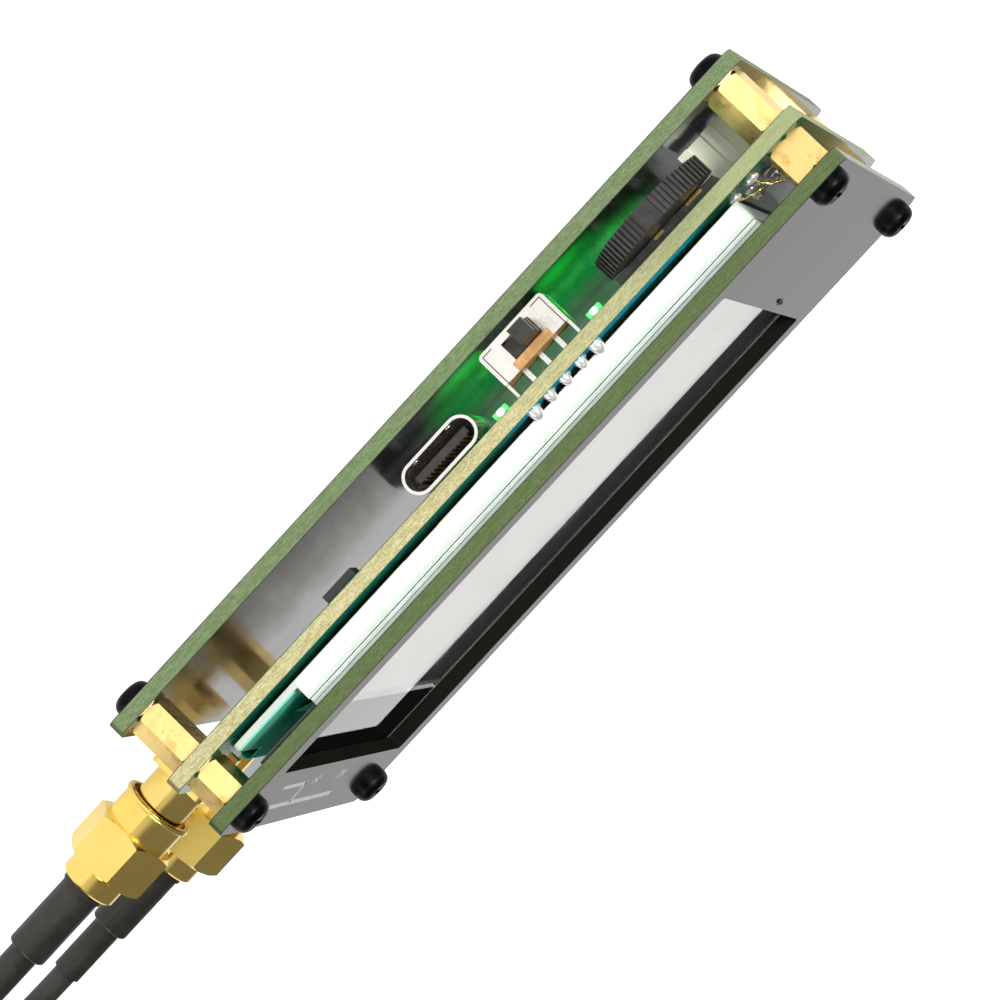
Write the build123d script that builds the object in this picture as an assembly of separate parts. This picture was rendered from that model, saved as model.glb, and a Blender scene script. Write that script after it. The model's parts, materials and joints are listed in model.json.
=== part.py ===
from build123d import *
from math import cos, degrees, pi, radians, sin, sqrt, tan
import os

# Antenna analyzer: an open stack of three circuit boards on hex spacers, with two test leads.
# Millimetres. X runs along the board, the coaxial jacks are at -X and the controls look to +Y.
# Z is up through the display; the analyzer lies on the heads of its four back screws.

# ---- board stack
board_thickness = 1.6
board_corner = 1.2
rear_gap = 6.0
front_gap = 4.0
hole_inset = 3.0
screw_hole = 2.2

# ---- fasteners
screw_head_width = 4.0
screw_head_height = 1.4
screw_head_round = 1.0
screw_shank = 1.9
screw_bite = 2.4
recess_length = 2.1
recess_width = 0.5
recess_depth = 0.6
thread_bore = 2.0
spacer_flats = 4.0
spacer_chamfer = 0.25
spacer_turn = 18.0
stud_length = 2.2
stud_end_gap = 0.2

# ---- display, which sets the size of the boards and of their window
window_jack_inset = 1.4
window_end_inset = 7.3
window_side_inset = 1.5
window_corner = 0.6
pin_hole = 1.0
pin_hole_gap = 0.8
pin_hole_y = -5.1
display_length = 69.2
display_width = 50.0
display_jack_gap = 6.55
display_end_gap = 9.75
display_side_gap = 2.0
display_frame = 2.25
display_ledge_length = 8.4
display_ledge = 0.65
display_corner = 0.6
frame_notch_length = 4.6
frame_notch_depth = 0.25
frame_notch_shares = (0.38, 0.62)
cell_thickness = 0.5
cell_margin = 1.2
cell_air = 0.05
touch_jack_inset = 0.6
touch_neck_inset = 1.1
border_tape = 0.1
touch_thickness = 0.6
touch_glue = 0.05
foam_gap = 0.55
foam_width = 6.0
foam_side_inset = 7.5
flex_width = 34.0
flex_thickness = 0.12
flex_reach = 1.1
flex_landing = 4.0
flex_ledge_inset = 0.3
flex_bend = 3.5

# ---- USB-C socket
usb_width = 8.94
usb_height = 3.26
usb_depth = 7.3
usb_wall = 0.3
usb_end_gap = 45.15
usb_proud = 0.7
usb_seat = 0.05
usb_tongue_width = 6.7
usb_tongue_height = 0.7
usb_tongue_setback = 1.0
usb_back_block = 1.6
usb_mould_play = 0.02
usb_contact_width = 0.26
usb_contact_pitch = 0.5
usb_contact_count = 12
usb_contact_thickness = 0.06

# ---- slide power switch
usb_to_switch = 12.95
switch_length = 8.5
switch_depth = 3.0
switch_height = 3.7
switch_lift = 1.6
switch_sheet = 0.3
switch_setback = 0.1
switch_corner = 0.5
switch_base_height = 0.95
switch_travel = 1.6
switch_play = 0.1
knob_width = 1.8
knob_height = 1.7
knob_reach = 3.8
knob_step = 1.1
knob_step_depth = 0.35
slider_overlap = 0.9
switch_pitch = 2.08
switch_pin = 0.5
switch_base_window = 0.5
pin_proud = 0.5
pin_hole_width = 0.9
joint_width = 1.5
joint_height = 0.45

# ---- jog dial
switch_to_jog = 16.25
jog_radius = 8.0
jog_axis_setback = 4.3
jog_angle = 120.0
jog_height = 2.2
jog_well = 3.9
jog_web = 0.9
jog_hub_width = 4.6
jog_pin = 1.8
jog_pin_play = 0.06
jog_ridge_pitch = 0.55
jog_ridge_depth = 0.22
jog_ridge_width = 0.28
jog_patch = 2.2
jog_push_travel = 0.5
jog_play = 0.15
jog_base_length = 13.0
jog_base_depth = 9.4
jog_wing_depth = 5.0
jog_base_core = 8.6
jog_base_height = 0.9
jog_base_wall = 0.35
jog_base_setback = 0.6
jog_rib_width = 4.0
jog_rib_height = 0.4
jog_carrier_width = 6.0
jog_carrier_height = 0.7
jog_rib_length = 7.2
jog_post = 0.9
jog_contact_depth = 0.25
jog_contact_height = 0.3
jog_contact_places = ((-0.8, 1.2), (3.9, 2.0))
jog_contact_play = 0.02

# ---- status lamps
lamp_length = 1.6
lamp_width = 0.8
lamp_height = 0.7
lamp_setback = 0.5
lamp_reach = 6.35

# ---- battery, its plug and header
battery_length = 40.0
battery_width = 25.0
battery_thickness = 2.6
battery_corner = 1.2
battery_end_gap = 14.75
battery_far_gap = 2.0
battery_tape = 0.2
header_length = 7.45
header_depth = 6.0
header_height = 5.3
header_wall = 0.7
header_end_gap = 3.425
header_setback = 7.0
header_pitch = 2.5
header_pin = 0.64
header_rib_width = 1.2
header_rib_depth = 0.5
plug_length = 5.5
plug_height = 3.9
plug_grip = 3.6
plug_play = 0.1
wire_width = 1.2
wire_bend = 4.0

# ---- radio and logic parts on the hidden face
can_length = 28.0
can_width = 32.0
can_height = 1.6
can_wall = 0.25
can_jack_gap = 5.75
can_y = -5.0
processor_size = 7.0
processor_height = 1.4
processor_place = (16.0, -4.0)
small_chip_length = 5.0
small_chip_width = 4.0
small_chip_height = 1.0
mixer_count = 3
mixer_pitch = 8.0
signal_chip_places = ((11.0, -16.0), (22.0, -16.0))
power_chip_length = 3.0
power_chip_width = 1.7
power_chip_height = 1.1
power_chip_places = ((-4.0, 8.0), (4.0, 12.0))
end_chip_inset = 4.75
end_chip_y = -14.0
crystal_length = 3.2
crystal_width = 2.5
crystal_height = 0.8
logic_crystal = (4.5, 4.0)
radio_crystal = (9.0, 10.0)
edge_chip_x = -17.9
edge_chip_length = 3.8
edge_chip_width = 2.6
edge_chip_height = 0.95
edge_chip_setback = 0.5
passive_length = 1.6
passive_width = 0.8
passive_height = 0.5
passive_pitch = 2.6
passive_row_pitch = 2.0
passive_places = ((8.0, 6.0), (8.0, 0.0), (21.8, 0.0), (-34.0, 18.5))
passive_counts = ((8, 1), (2, 4), (3, 4), (7, 1))
radio_passive_place = (-9.1, -8.0)
radio_passive_counts = (8, 2)

# ---- coaxial jacks
jack_spacing = 27.5
jack_drop = 1.0
flange_size = 6.35
flange_thickness = 1.6
flange_corner = 0.5
leg_length = 4.2
leg_width = 1.0
jack_neck = 5.4
jack_thread = 6.2
jack_neck_length = 4.1
jack_thread_length = 5.5
jack_thread_chamfer = 0.35
jack_bore = 4.64
jack_bore_depth = 2.1
jack_insulator = 4.1
jack_socket = 1.27
jack_socket_bore = 0.96
jack_socket_depth = 2.6
jack_tail_length = 3.0

# ---- lead plugs
nut_flats = 8.0
nut_hex_length = 5.0
nut_collar_width = 7.0
nut_collar_length = 3.3
nut_lip_width = 7.5
nut_lip_length = 0.55
nut_chamfer = 0.5
nut_thread_play = 0.1
nut_back_wall = 1.2
near_nut_turn = 35.0
far_nut_turn = 22.0
end_nut_turn = 0.0
shoulder_length = 0.9
shoulder_play = 0.1
neck_width = 5.0
ferrule_width = 6.0
ferrule_length = 2.2
ferrule_chamfer = 0.2
plug_shell = 4.54
plug_shell_wall = 0.2
plug_pin = 0.92
plug_shell_reach = 2.0
plug_pin_reach = 3.9
crimp_sleeve_width = 4.2
crimp_sleeve_rim = 4.6
crimp_sleeve_rim_length = 0.7
crimp_sleeve_length = 9.0
crimp_sleeve_round = 0.35
relief_sleeve_width = 3.1
relief_sleeve_length = 6.5

# ---- lead cables
cable_width = 2.5
coil_inner_radius = 10.5
coil_step = 2.3
coil_turns = 2
coil_quarters = 4
tail_route = [(0, 0), (-5.5, 0), (-12.5, 1), (-18.0, 1)]
near_lead_route = [(-4.55, 0.0, 0.0), (-13.25, 0.2, -1.3), (-21.45, 0.0, -2.1)]
far_lead_route = [(-4.45, 0.0, 0.0), (-12.65, 0.15, -0.3), (-21.05, -0.2, -0.6), (-28.65, 0.0, -1.6)]

# ---- levels and places worked out from the sizes above
back_z = screw_head_height
back_top = back_z + board_thickness
main_z = back_top + rear_gap
main_top = main_z + board_thickness
front_z = main_top + front_gap
front_top = front_z + board_thickness
board_length = display_jack_gap + display_length + display_end_gap
board_width = display_width + 2 * display_side_gap
board_end = board_length / 2
board_near = board_width / 2
hole_x = board_end - hole_inset
hole_y = board_near - hole_inset
corners = [(sx * hole_x, sy * hole_y) for sx in (-1, 1) for sy in (-1, 1)]
foam_top = main_top + foam_gap
frame_top = foam_top + display_frame
touch_top = front_z - touch_glue
touch_z = touch_top - touch_thickness
cell_z = touch_z - cell_air - cell_thickness
display_end = board_end - display_end_gap
display_start = display_end - display_length
ledge_end = display_start + display_ledge_length
touch_start = display_start + touch_jack_inset
window_start = display_start + window_jack_inset
window_end = display_end - window_end_inset
window_width = display_width - 2 * window_side_inset
usb_x = board_end - usb_end_gap
switch_x = usb_x + usb_to_switch
jog_x = switch_x + switch_to_jog
lamp_positions = (switch_x - lamp_reach, switch_x + lamp_reach)
header_x = board_end - header_end_gap - header_length / 2
battery_x = board_end - battery_end_gap - battery_length / 2
battery_y = -board_near + battery_far_gap + battery_width / 2
can_x = -board_end + can_jack_gap + can_length / 2
switch_front = board_near - switch_setback
switch_middle_y = switch_front - switch_depth / 2
switch_top = main_z - switch_lift
switch_bottom = switch_top - switch_height
switch_base_z = switch_top - switch_base_height
knob_rest = switch_x + switch_travel / 2
joint_places = [switch_x + switch_pitch * k for k in (-2, -1, 0, 1, 2)]
jog_y = board_near - jog_axis_setback
jog_base_front = board_near - jog_base_setback
jog_base_z = main_z - jog_base_height
jog_dial_top = jog_base_z - jog_play
jog_dial_z = jog_dial_top - jog_height
header_front = board_near - header_setback
header_back = header_front - header_depth
header_pins_y = header_front - header_wall
jack_z = main_z - jack_drop
jack_face = -board_end - flange_thickness
thread_start = jack_face - jack_neck_length
jack_tip = thread_start - jack_thread_length
controls_tip = max(switch_front + knob_reach, jog_y + jog_radius)
origin_x = (board_end + jack_tip) / 2
origin_y = (controls_tip - board_near) / 2
nut_front = jack_tip + shoulder_play + nut_back_wall + shoulder_length
nut_bore = jack_thread + 2 * nut_thread_play
nut_length = nut_collar_length + nut_hex_length
sleeves_length = crimp_sleeve_length + relief_sleeve_length
end_axis_z = nut_flats / 2
cable_r = cable_width / 2


def block(x, y, z, length, width, height):
    """A box centred on x and y, that stands up from z."""
    return Pos(x, y, z) * Box(length, width, height, align=(Align.CENTER, Align.CENTER, Align.MIN))


def post(x, y, z, width, height):
    """An upright round bar from z."""
    return Pos(x, y, z) * Cylinder(width / 2, height, align=(Align.CENTER, Align.CENTER, Align.MIN))


def bar(x_high, y, z, width, length):
    """A round bar that runs from x_high towards -X."""
    place = Pos(x_high, y, z) * Rot(0, -90, 0)
    return place * Cylinder(width / 2, length, align=(Align.CENTER, Align.CENTER, Align.MIN))


def save(name, *solids):
    """Writes the named piece: one solid, or a group of separate ones.

    The model is drawn about the middle of the boards and saved about the middle of the
    analyzer without its leads, from the jacks' tips to the boards' end and to the controls.
    """
    placed = [Pos(-origin_x, -origin_y, 0) * solid for solid in solids]
    whole = placed[0] if len(placed) == 1 else Compound(children=placed)
    export_step(whole, f"parts/{name}.step")


# ---------------------------------------------------------------- boards and fasteners
def board_blank(z):
    outline = RectangleRounded(board_length, board_width, board_corner)
    board = Pos(0, 0, z) * extrude(outline, board_thickness)
    for x, y in corners:
        board -= post(x, y, z, screw_hole, board_thickness)
    return board


def front_panel():
    panel = board_blank(front_z)
    window = RectangleRounded(window_end - window_start, window_width, window_corner)
    panel -= Pos((window_start + window_end) / 2, 0, front_z) * extrude(window, board_thickness)
    pin_hole_x = window_end + pin_hole_gap + pin_hole / 2
    return panel - post(pin_hole_x, pin_hole_y, front_z, pin_hole, board_thickness)


def main_board():
    board = board_blank(main_z)
    for x in joint_places:
        board -= post(x, switch_middle_y, main_z, pin_hole_width, board_thickness)
    for side in (-1, 1):
        x = header_x + side * header_pitch / 2
        board -= post(x, header_pins_y, main_z, pin_hole_width, board_thickness)
    return board


def screw(x, y, seat, up):
    """A pan-head screw whose head stands on the board face at seat; up is 1 or -1."""
    head = Cylinder(screw_head_width / 2, screw_head_height, align=(Align.CENTER, Align.CENTER, Align.MIN))
    head = fillet(head.edges().group_by(Axis.Z)[-1], screw_head_round)
    shank_length = board_thickness + screw_bite
    shank = Pos(0, 0, -shank_length) * Cylinder(
        screw_shank / 2, shank_length, align=(Align.CENTER, Align.CENTER, Align.MIN)
    )
    slot_z = screw_head_height - recess_depth
    slots = block(0, 0, slot_z, recess_length, recess_width, recess_depth)
    slots += block(0, 0, slot_z, recess_width, recess_length, recess_depth)
    whole = head + shank - slots
    turned = whole if up > 0 else Rot(180, 0, 0) * whole
    return Pos(x, y, seat) * turned


def hex_spacer(x, y, z, length, turn):
    spacer = extrude(Rot(0, 0, turn) * RegularPolygon(spacer_flats / 2, 6, major_radius=False), length)
    corner = spacer_flats / 2 / cos(radians(30))
    rim = Cylinder(corner, length, align=(Align.CENTER, Align.CENTER, Align.MIN))
    rim = chamfer(rim.edges().filter_by(GeomType.CIRCLE), spacer_chamfer)
    return Pos(x, y, z) * (spacer & rim)


def rear_spacer(x, y):
    spacer = hex_spacer(x, y, back_top, rear_gap, -spacer_turn)
    return spacer - post(x, y, back_top, thread_bore, rear_gap)


def front_spacer(x, y):
    """Its lower end carries the stud that goes through the main board into the rear spacer."""
    spacer = hex_spacer(x, y, main_top, front_gap, spacer_turn if x > 0 else -spacer_turn)
    bore_depth = screw_bite + stud_end_gap
    spacer -= post(x, y, front_z - bore_depth, thread_bore, bore_depth)
    stud = board_thickness + stud_length
    return spacer + post(x, y, main_top - stud, screw_shank, stud)


# ---------------------------------------------------------------- display
def display_frame_body():
    middle = (display_start + display_end) / 2
    frame = Pos(middle, 0, foam_top) * extrude(
        RectangleRounded(display_length, display_width, display_corner), display_frame
    )
    ledge_x = display_start + display_ledge_length / 2
    frame -= block(
        ledge_x, 0, foam_top + display_ledge, display_ledge_length, display_width, display_frame
    )
    for share in frame_notch_shares:
        x = display_start + display_length * share
        for side in (-1, 1):
            y = side * (display_width - frame_notch_depth) / 2
            frame -= block(x, y, foam_top, frame_notch_length, frame_notch_depth, display_frame / 2)
    return frame


def display_plate(z, thickness, margin):
    length = display_end - ledge_end - 2 * margin
    middle = (display_end + ledge_end) / 2
    return block(middle, 0, z, length, display_width - 2 * margin, thickness)


def over_ledge(z, thickness):
    """A plate between the ledge and the window, a little narrower than the display."""
    middle = (touch_start + ledge_end) / 2
    width = display_width - 2 * touch_neck_inset
    return block(middle, 0, z, ledge_end - touch_start, width, thickness)


def touch_glass():
    return display_plate(touch_z, touch_thickness, 0) + over_ledge(touch_z, touch_thickness)


def foam_pads():
    width = display_width - 2 * foam_side_inset
    middles = (ledge_end + foam_width, display_end - foam_width)
    return [block(x, 0, main_top, foam_width, width, foam_gap) for x in middles]


def display_flex():
    """The flat cable leaves the cell, lies on the ledge, and turns under it to the main board."""
    high = frame_top - 2 * flex_thickness
    on_ledge = foam_top + display_ledge + flex_thickness / 2
    on_board = main_top + flex_thickness / 2
    turn = (on_ledge - on_board) / 2
    start = ledge_end - flex_thickness
    outer = display_start - flex_reach
    landing = display_start + flex_landing
    down = Polyline((start, 0, high), (start - flex_bend, 0, on_ledge), (outer, 0, on_ledge))
    bend = ThreePointArc(
        (outer, 0, on_ledge), (outer - turn, 0, on_ledge - turn), (outer, 0, on_board)
    )
    back = Line((outer, 0, on_board), (landing, 0, on_board))
    sheet = Curve() + [down, bend, back]
    middle_line = Wire(sheet.edges())
    ribbon = Plane.XZ.offset(-flex_width / 2)
    outline = middle_line.offset_2d(flex_thickness / 2, side=Side.BOTH, closed=True)
    face = Face(outline)
    solid = extrude(face, flex_width / 2, dir=ribbon.z_dir, both=True)
    wide_start = display_start + flex_ledge_inset
    wide_end = ledge_end - 2 * flex_ledge_inset
    wide_width = display_width - 2 * flex_ledge_inset
    wide = block(
        (wide_start + wide_end) / 2,
        0,
        on_ledge - flex_thickness / 2,
        wide_end - wide_start,
        wide_width,
        flex_thickness,
    )
    return solid + wide


# ---------------------------------------------------------------- USB-C socket
def usb_outline(width, height):
    return RectangleRounded(width, height, height / 2 - 0.01)


def usb_places():
    z = main_z - usb_seat - usb_height / 2
    front = board_near + usb_proud
    return Plane((usb_x, front, z), x_dir=(1, 0, 0), z_dir=(0, -1, 0)), z, front


def usb_shell():
    plane, z, front = usb_places()
    shell = extrude(plane * usb_outline(usb_width, usb_height), usb_depth)
    inner = usb_outline(usb_width - 2 * usb_wall, usb_height - 2 * usb_wall)
    return shell - extrude(plane * inner, usb_depth)


def usb_tongue():
    plane, z, front = usb_places()
    width = usb_width - 2 * usb_wall - 2 * usb_mould_play
    height = usb_height - 2 * usb_wall - 2 * usb_mould_play
    back = plane.offset(usb_depth - usb_back_block)
    block_end = extrude(back * usb_outline(width, height), usb_back_block)
    length = usb_depth - usb_back_block - usb_tongue_setback
    middle = front - usb_tongue_setback - length / 2
    tongue = block(
        usb_x, middle, z - usb_tongue_height / 2, usb_tongue_width, length, usb_tongue_height
    )
    return block_end + tongue


def usb_contacts():
    plane, z, front = usb_places()
    length = usb_depth - usb_back_block - 2 * usb_tongue_setback
    middle = front - 1.5 * usb_tongue_setback - length / 2
    strips = []
    for side in (-1, 1):
        low = z + usb_tongue_height / 2 if side > 0 else z - usb_tongue_height / 2 - usb_contact_thickness
        for k in range(usb_contact_count):
            x = usb_x + (k - (usb_contact_count - 1) / 2) * usb_contact_pitch
            strips.append(block(x, middle, low, usb_contact_width, length, usb_contact_thickness))
    return strips


# ---------------------------------------------------------------- slide power switch
def switch_window():
    """Half widths of the cut in the cover: at the knob, and lower down at the brown base."""
    at_knob = (knob_width + switch_travel) / 2 + switch_play
    return at_knob, at_knob + switch_base_window


def switch_cover():
    outer = block(switch_x, switch_middle_y, switch_bottom, switch_length, switch_depth, switch_height)
    outer = fillet(outer.edges().group_by(Axis.Z)[0].filter_by(Axis.Y), switch_corner)
    inner_height = switch_height - switch_sheet
    inner = block(
        switch_x,
        switch_middle_y,
        switch_bottom + switch_sheet,
        switch_length - 2 * switch_sheet,
        switch_depth - 2 * switch_sheet,
        inner_height,
    )
    cover = outer - inner
    at_knob, at_base = switch_window()
    window_z = switch_base_z - switch_play - knob_height - 2 * switch_play
    cut_depth = 2 * switch_sheet
    front_y = switch_front - switch_sheet / 2
    cover -= block(switch_x, front_y, window_z, 2 * at_knob, cut_depth, switch_top - window_z)
    cover -= block(
        switch_x, front_y, switch_base_z, 2 * at_base, cut_depth, switch_base_height
    )
    for side in (-1, 1):
        x = switch_x + side * (switch_length - switch_sheet) / 2
        wall_y = switch_middle_y
        cover += block(x, wall_y, switch_top, switch_sheet, switch_depth * 0.8, switch_lift)
        leg = switch_lift + board_thickness + pin_proud
        cover += block(x, wall_y, switch_top, switch_sheet, switch_pin, leg)
    return cover


def switch_base():
    """The brown base closes the cover's open side."""
    length = switch_length - 2 * switch_sheet
    base = block(
        switch_x,
        switch_middle_y,
        switch_base_z,
        length,
        switch_depth - 2 * switch_sheet,
        switch_base_height,
    )
    _, at_base = switch_window()
    lip_y = switch_front - switch_sheet / 2
    base += block(switch_x, lip_y, switch_base_z, 2 * at_base - 0.04, switch_sheet, switch_base_height)
    return base


def switch_slider():
    low = switch_base_z - switch_play - knob_height
    inner_depth = switch_depth - 2 * switch_sheet - 2 * switch_play
    body = block(
        knob_rest,
        switch_middle_y,
        low,
        knob_width + 2 * slider_overlap,
        inner_depth,
        knob_height,
    )
    start = switch_middle_y + inner_depth / 2
    end = switch_front + knob_reach
    stem = block(knob_rest, (start + end) / 2, low, knob_width, end - start, knob_height)
    step_y = end - knob_step / 2
    for side in (-1, 1):
        x = knob_rest + side * (knob_width / 2)
        stem -= block(x, step_y - knob_step, low, knob_step_depth, knob_step, knob_height)
    return body + stem


def switch_pins():
    pins = []
    for x in joint_places[1:4]:
        height = switch_lift + board_thickness + pin_proud
        pins.append(block(x, switch_middle_y, switch_top, switch_pin, switch_pin, height))
    return pins


def solder_cone(x, y, hole_width, hole_depth):
    """A solder joint on the front face of the main board, round a pin of the given section."""
    cone = Pos(x, y, main_top) * Cone(
        joint_width / 2, joint_width / 4, joint_height, align=(Align.CENTER, Align.CENTER, Align.MIN)
    )
    return cone - block(x, y, main_top, hole_width, hole_depth, joint_height)


def solder_joints():
    legs = [joint_places[0], joint_places[4]]
    joints = []
    for side, x in zip((-1, 1), legs):
        leg_x = switch_x + side * (switch_length - switch_sheet) / 2
        joints.append(solder_cone(leg_x, switch_middle_y, switch_sheet, switch_pin))
    for x in joint_places[1:4]:
        joints.append(solder_cone(x, switch_middle_y, switch_pin, switch_pin))
    for side in (-1, 1):
        x = header_x + side * header_pitch / 2
        joints.append(solder_cone(x, header_pins_y, header_pin, header_pin))
    return joints


# ---------------------------------------------------------------- jog dial
def jog_dial():
    half = jog_angle / 2
    turn = 90 - half
    rim = Cylinder(jog_radius, jog_height, align=(Align.CENTER, Align.CENTER, Align.MIN))
    hollow_height = jog_height - jog_web
    hollow = Pos(0, 0, jog_web) * Cylinder(
        jog_well, hollow_height, align=(Align.CENTER, Align.CENTER, Align.MIN)
    )
    dial = rim - hollow
    wedge = Cylinder(
        2 * jog_radius, jog_height, arc_size=jog_angle, align=(Align.NONE, Align.NONE, Align.MIN)
    )
    dial = dial & (Rot(0, 0, turn) * wedge)
    hub = Cylinder(jog_hub_width / 2, jog_web, align=(Align.CENTER, Align.CENTER, Align.MIN))
    dial += hub
    step = degrees(jog_ridge_pitch / jog_radius)
    count = int(half / step)
    for k in range(-count, count + 1):
        angle = k * step
        if abs(radians(angle)) * jog_radius < jog_patch / 2:
            continue
        groove = Pos(0, jog_radius, 0) * Box(
            jog_ridge_width, 2 * jog_ridge_depth, jog_height, align=(Align.CENTER, Align.CENTER, Align.MIN)
        )
        dial -= Rot(0, 0, angle) * groove
    bore = jog_pin + 2 * jog_pin_play
    dial -= Cylinder(bore / 2, jog_height, align=(Align.CENTER, Align.CENTER, Align.MIN))
    return Pos(jog_x, jog_y, jog_dial_z) * dial


def jog_carrier():
    """The plate that the dial turns on; its rib slides in the base when the dial is pushed."""
    z = jog_dial_top - jog_carrier_height
    room = jog_well - 2 * jog_play
    plate = post(jog_x, jog_y, z, 2 * room, jog_carrier_height)
    plate = plate & block(jog_x, jog_y, z, jog_carrier_width, 2 * room, jog_carrier_height)
    low = jog_dial_z
    pin = post(jog_x, jog_y, low, jog_pin, z - low)
    rib_front = jog_base_front - jog_base_wall - jog_play
    rib_y = rib_front - jog_rib_length / 2
    rib_height = jog_play + jog_rib_height
    rib = block(jog_x, rib_y, jog_dial_top, jog_rib_width, jog_rib_length, rib_height)
    return plate + pin + rib


def jog_base():
    middle = jog_base_front - jog_base_depth / 2
    base = block(jog_x, middle, jog_base_z, jog_base_core, jog_base_depth, jog_base_height)
    wing_y = jog_base_front - jog_wing_depth / 2
    base += block(jog_x, wing_y, jog_base_z, jog_base_length, jog_wing_depth, jog_base_height)
    channel = jog_base_depth - 2 * jog_base_wall
    width = jog_rib_width + 2 * jog_play
    base -= block(jog_x, middle, jog_base_z, width, channel, jog_rib_height + jog_play)
    for side in (-1, 1):
        x = jog_x + side * (jog_base_core - jog_post) / 2
        back_y = jog_base_front - jog_base_depth + jog_post / 2
        base += block(x, back_y, jog_base_z - jog_post, jog_post, jog_post, jog_post)
    return base - jog_contact_cut(0)


def jog_contact_cut(play):
    cut = None
    for offset, width in jog_contact_places:
        piece = block(
            jog_x + offset,
            jog_base_front - jog_contact_depth / 2,
            jog_base_z,
            width - play,
            jog_contact_depth,
            jog_contact_height,
        )
        cut = piece if cut is None else cut + piece
    return cut


def jog_contacts():
    return [Part() + s for s in jog_contact_cut(jog_contact_play).solids()]


# ---------------------------------------------------------------- lamps, header, battery
def status_lamps():
    y = board_near - lamp_setback - lamp_width / 2
    return [block(x, y, main_z - lamp_height, lamp_length, lamp_width, lamp_height) for x in lamp_positions]


def battery_header():
    z = main_z - header_height
    middle = header_front - header_depth / 2
    header = block(header_x, middle, z, header_length, header_depth, header_height)
    inside_depth = header_depth - header_wall
    header -= block(
        header_x,
        header_back + inside_depth / 2,
        z + header_wall,
        header_length - 2 * header_wall,
        inside_depth - header_wall,
        header_height - 2 * header_wall,
    )
    header -= block(
        header_x,
        header_back + header_wall,
        z + header_wall,
        header_length - 2 * header_wall,
        2 * header_wall,
        header_height - 2 * header_wall,
    )
    for side in (-1, 1):
        x = header_x + side * (header_length - header_rib_width) / 2
        y = header_front + header_rib_depth / 2
        header += block(x, y, z, header_rib_width, header_rib_depth, header_height)
    header += block(
        header_x, header_front + header_rib_depth / 2, z, header_rib_width, header_rib_depth, header_height
    )
    for pin in header_pins():
        header -= pin
    return header


def header_pins():
    """Each pin lies along the header's inside and turns down through the board."""
    pins = []
    axis_z = main_z - header_height / 2
    reach = header_depth - 2 * header_wall
    for side in (-1, 1):
        x = header_x + side * header_pitch / 2
        y = header_pins_y - reach / 2 + header_pin / 2
        low = axis_z - header_pin / 2
        pin = block(x, y, low, header_pin, reach, header_pin)
        drop = main_top + pin_proud - low
        pins.append(pin + block(x, header_pins_y, low, header_pin, header_pin, drop))
    return pins


def battery_plug():
    height = header_height - 2 * header_wall - 2 * plug_play
    low = main_z - header_height + header_wall + plug_play
    front = header_front - header_wall - header_pin - plug_play
    inside = front - header_back
    width = header_length - 2 * header_wall - 2 * plug_play
    plug = block(header_x, front - inside / 2, low, width, inside, height)
    grip_y = header_back - plug_grip / 2
    plug += block(header_x, grip_y, low, plug_length, plug_grip, min(height, plug_height))
    for side in (-1, 1):
        x = header_x + side * header_pitch / 2
        z = main_z - header_height / 2 - header_pin / 2 - plug_play
        hole = header_pin + 2 * plug_play
        plug -= block(x, front - inside / 2, z, hole, inside, hole)
    return plug


def battery_z():
    return main_z - can_height - battery_tape - battery_thickness


def battery():
    pouch = block(battery_x, battery_y, battery_z(), battery_length, battery_width, battery_thickness)
    return fillet(pouch.edges().filter_by(Axis.X), battery_corner)


def battery_tape_pad():
    """Holds the battery to the processor's top."""
    x, y = processor_place
    thickness = can_height + battery_tape - processor_height
    top = main_z - processor_height
    return block(x, y, top - thickness, processor_size, processor_size, thickness)


def battery_wires():
    """Two wires from the battery's +X end to the back of its plug, side by side."""
    wires = []
    start_x = battery_x + battery_length / 2
    z = battery_z() + battery_thickness / 2
    end_y = header_back - plug_grip
    for side in (-1, 1):
        x = header_x + side * header_pitch / 2
        y = battery_y - side * header_pitch / 2
        path = FilletPolyline((start_x, y, z), (x, y, z), (x, end_y, z), radius=wire_bend)
        section = Plane((start_x, y, z), z_dir=(1, 0, 0)) * Circle(wire_width / 2)
        wires.append(sweep(section, path=path))
    return wires


# ---------------------------------------------------------------- radio and logic parts
def shield_can():
    z = main_z - can_height
    can = block(can_x, can_y, z, can_length, can_width, can_height)
    can = fillet(can.edges().group_by(Axis.Z)[0], can_wall)
    inner_height = can_height - can_wall
    return can - block(
        can_x, can_y, z + can_wall, can_length - 2 * can_wall, can_width - 2 * can_wall, inner_height
    )


def hung(x, y, length, width, height):
    """A part soldered to the hidden face of the main board."""
    return block(x, y, main_z - height, length, width, height)


def radio_chips():
    """A row of mixers inside the can, and two signal chips outside it."""
    places = [(can_x + mixer_pitch * (k - (mixer_count - 1) / 2), can_y) for k in range(mixer_count)]
    places += signal_chip_places
    return [hung(x, y, small_chip_length, small_chip_width, small_chip_height) for x, y in places]


def power_chips():
    places = [*power_chip_places, (board_end - end_chip_inset, end_chip_y)]
    return [hung(x, y, power_chip_length, power_chip_width, power_chip_height) for x, y in places]


def crystals():
    places = [logic_crystal, (can_x + radio_crystal[0], can_y + radio_crystal[1])]
    return [hung(x, y, crystal_length, crystal_width, crystal_height) for x, y in places]


def edge_chip():
    y = board_near - edge_chip_setback - edge_chip_width / 2
    return hung(edge_chip_x, y, edge_chip_length, edge_chip_width, edge_chip_height)


def passives():
    """Grids of small parts, each from its first place by columns along X and rows towards -Y."""
    x, y = radio_passive_place
    places = [*passive_places, (can_x + x, can_y + y)]
    counts = [*passive_counts, radio_passive_counts]
    small = []
    for (first_x, first_y), (columns, rows) in zip(places, counts):
        for row in range(rows):
            for column in range(columns):
                place = (first_x + passive_pitch * column, first_y - passive_row_pitch * row)
                small.append(hung(*place, passive_length, passive_width, passive_height))
    return small


# ---------------------------------------------------------------- coaxial jacks
def jack_y(side):
    return side * jack_spacing / 2


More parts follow.
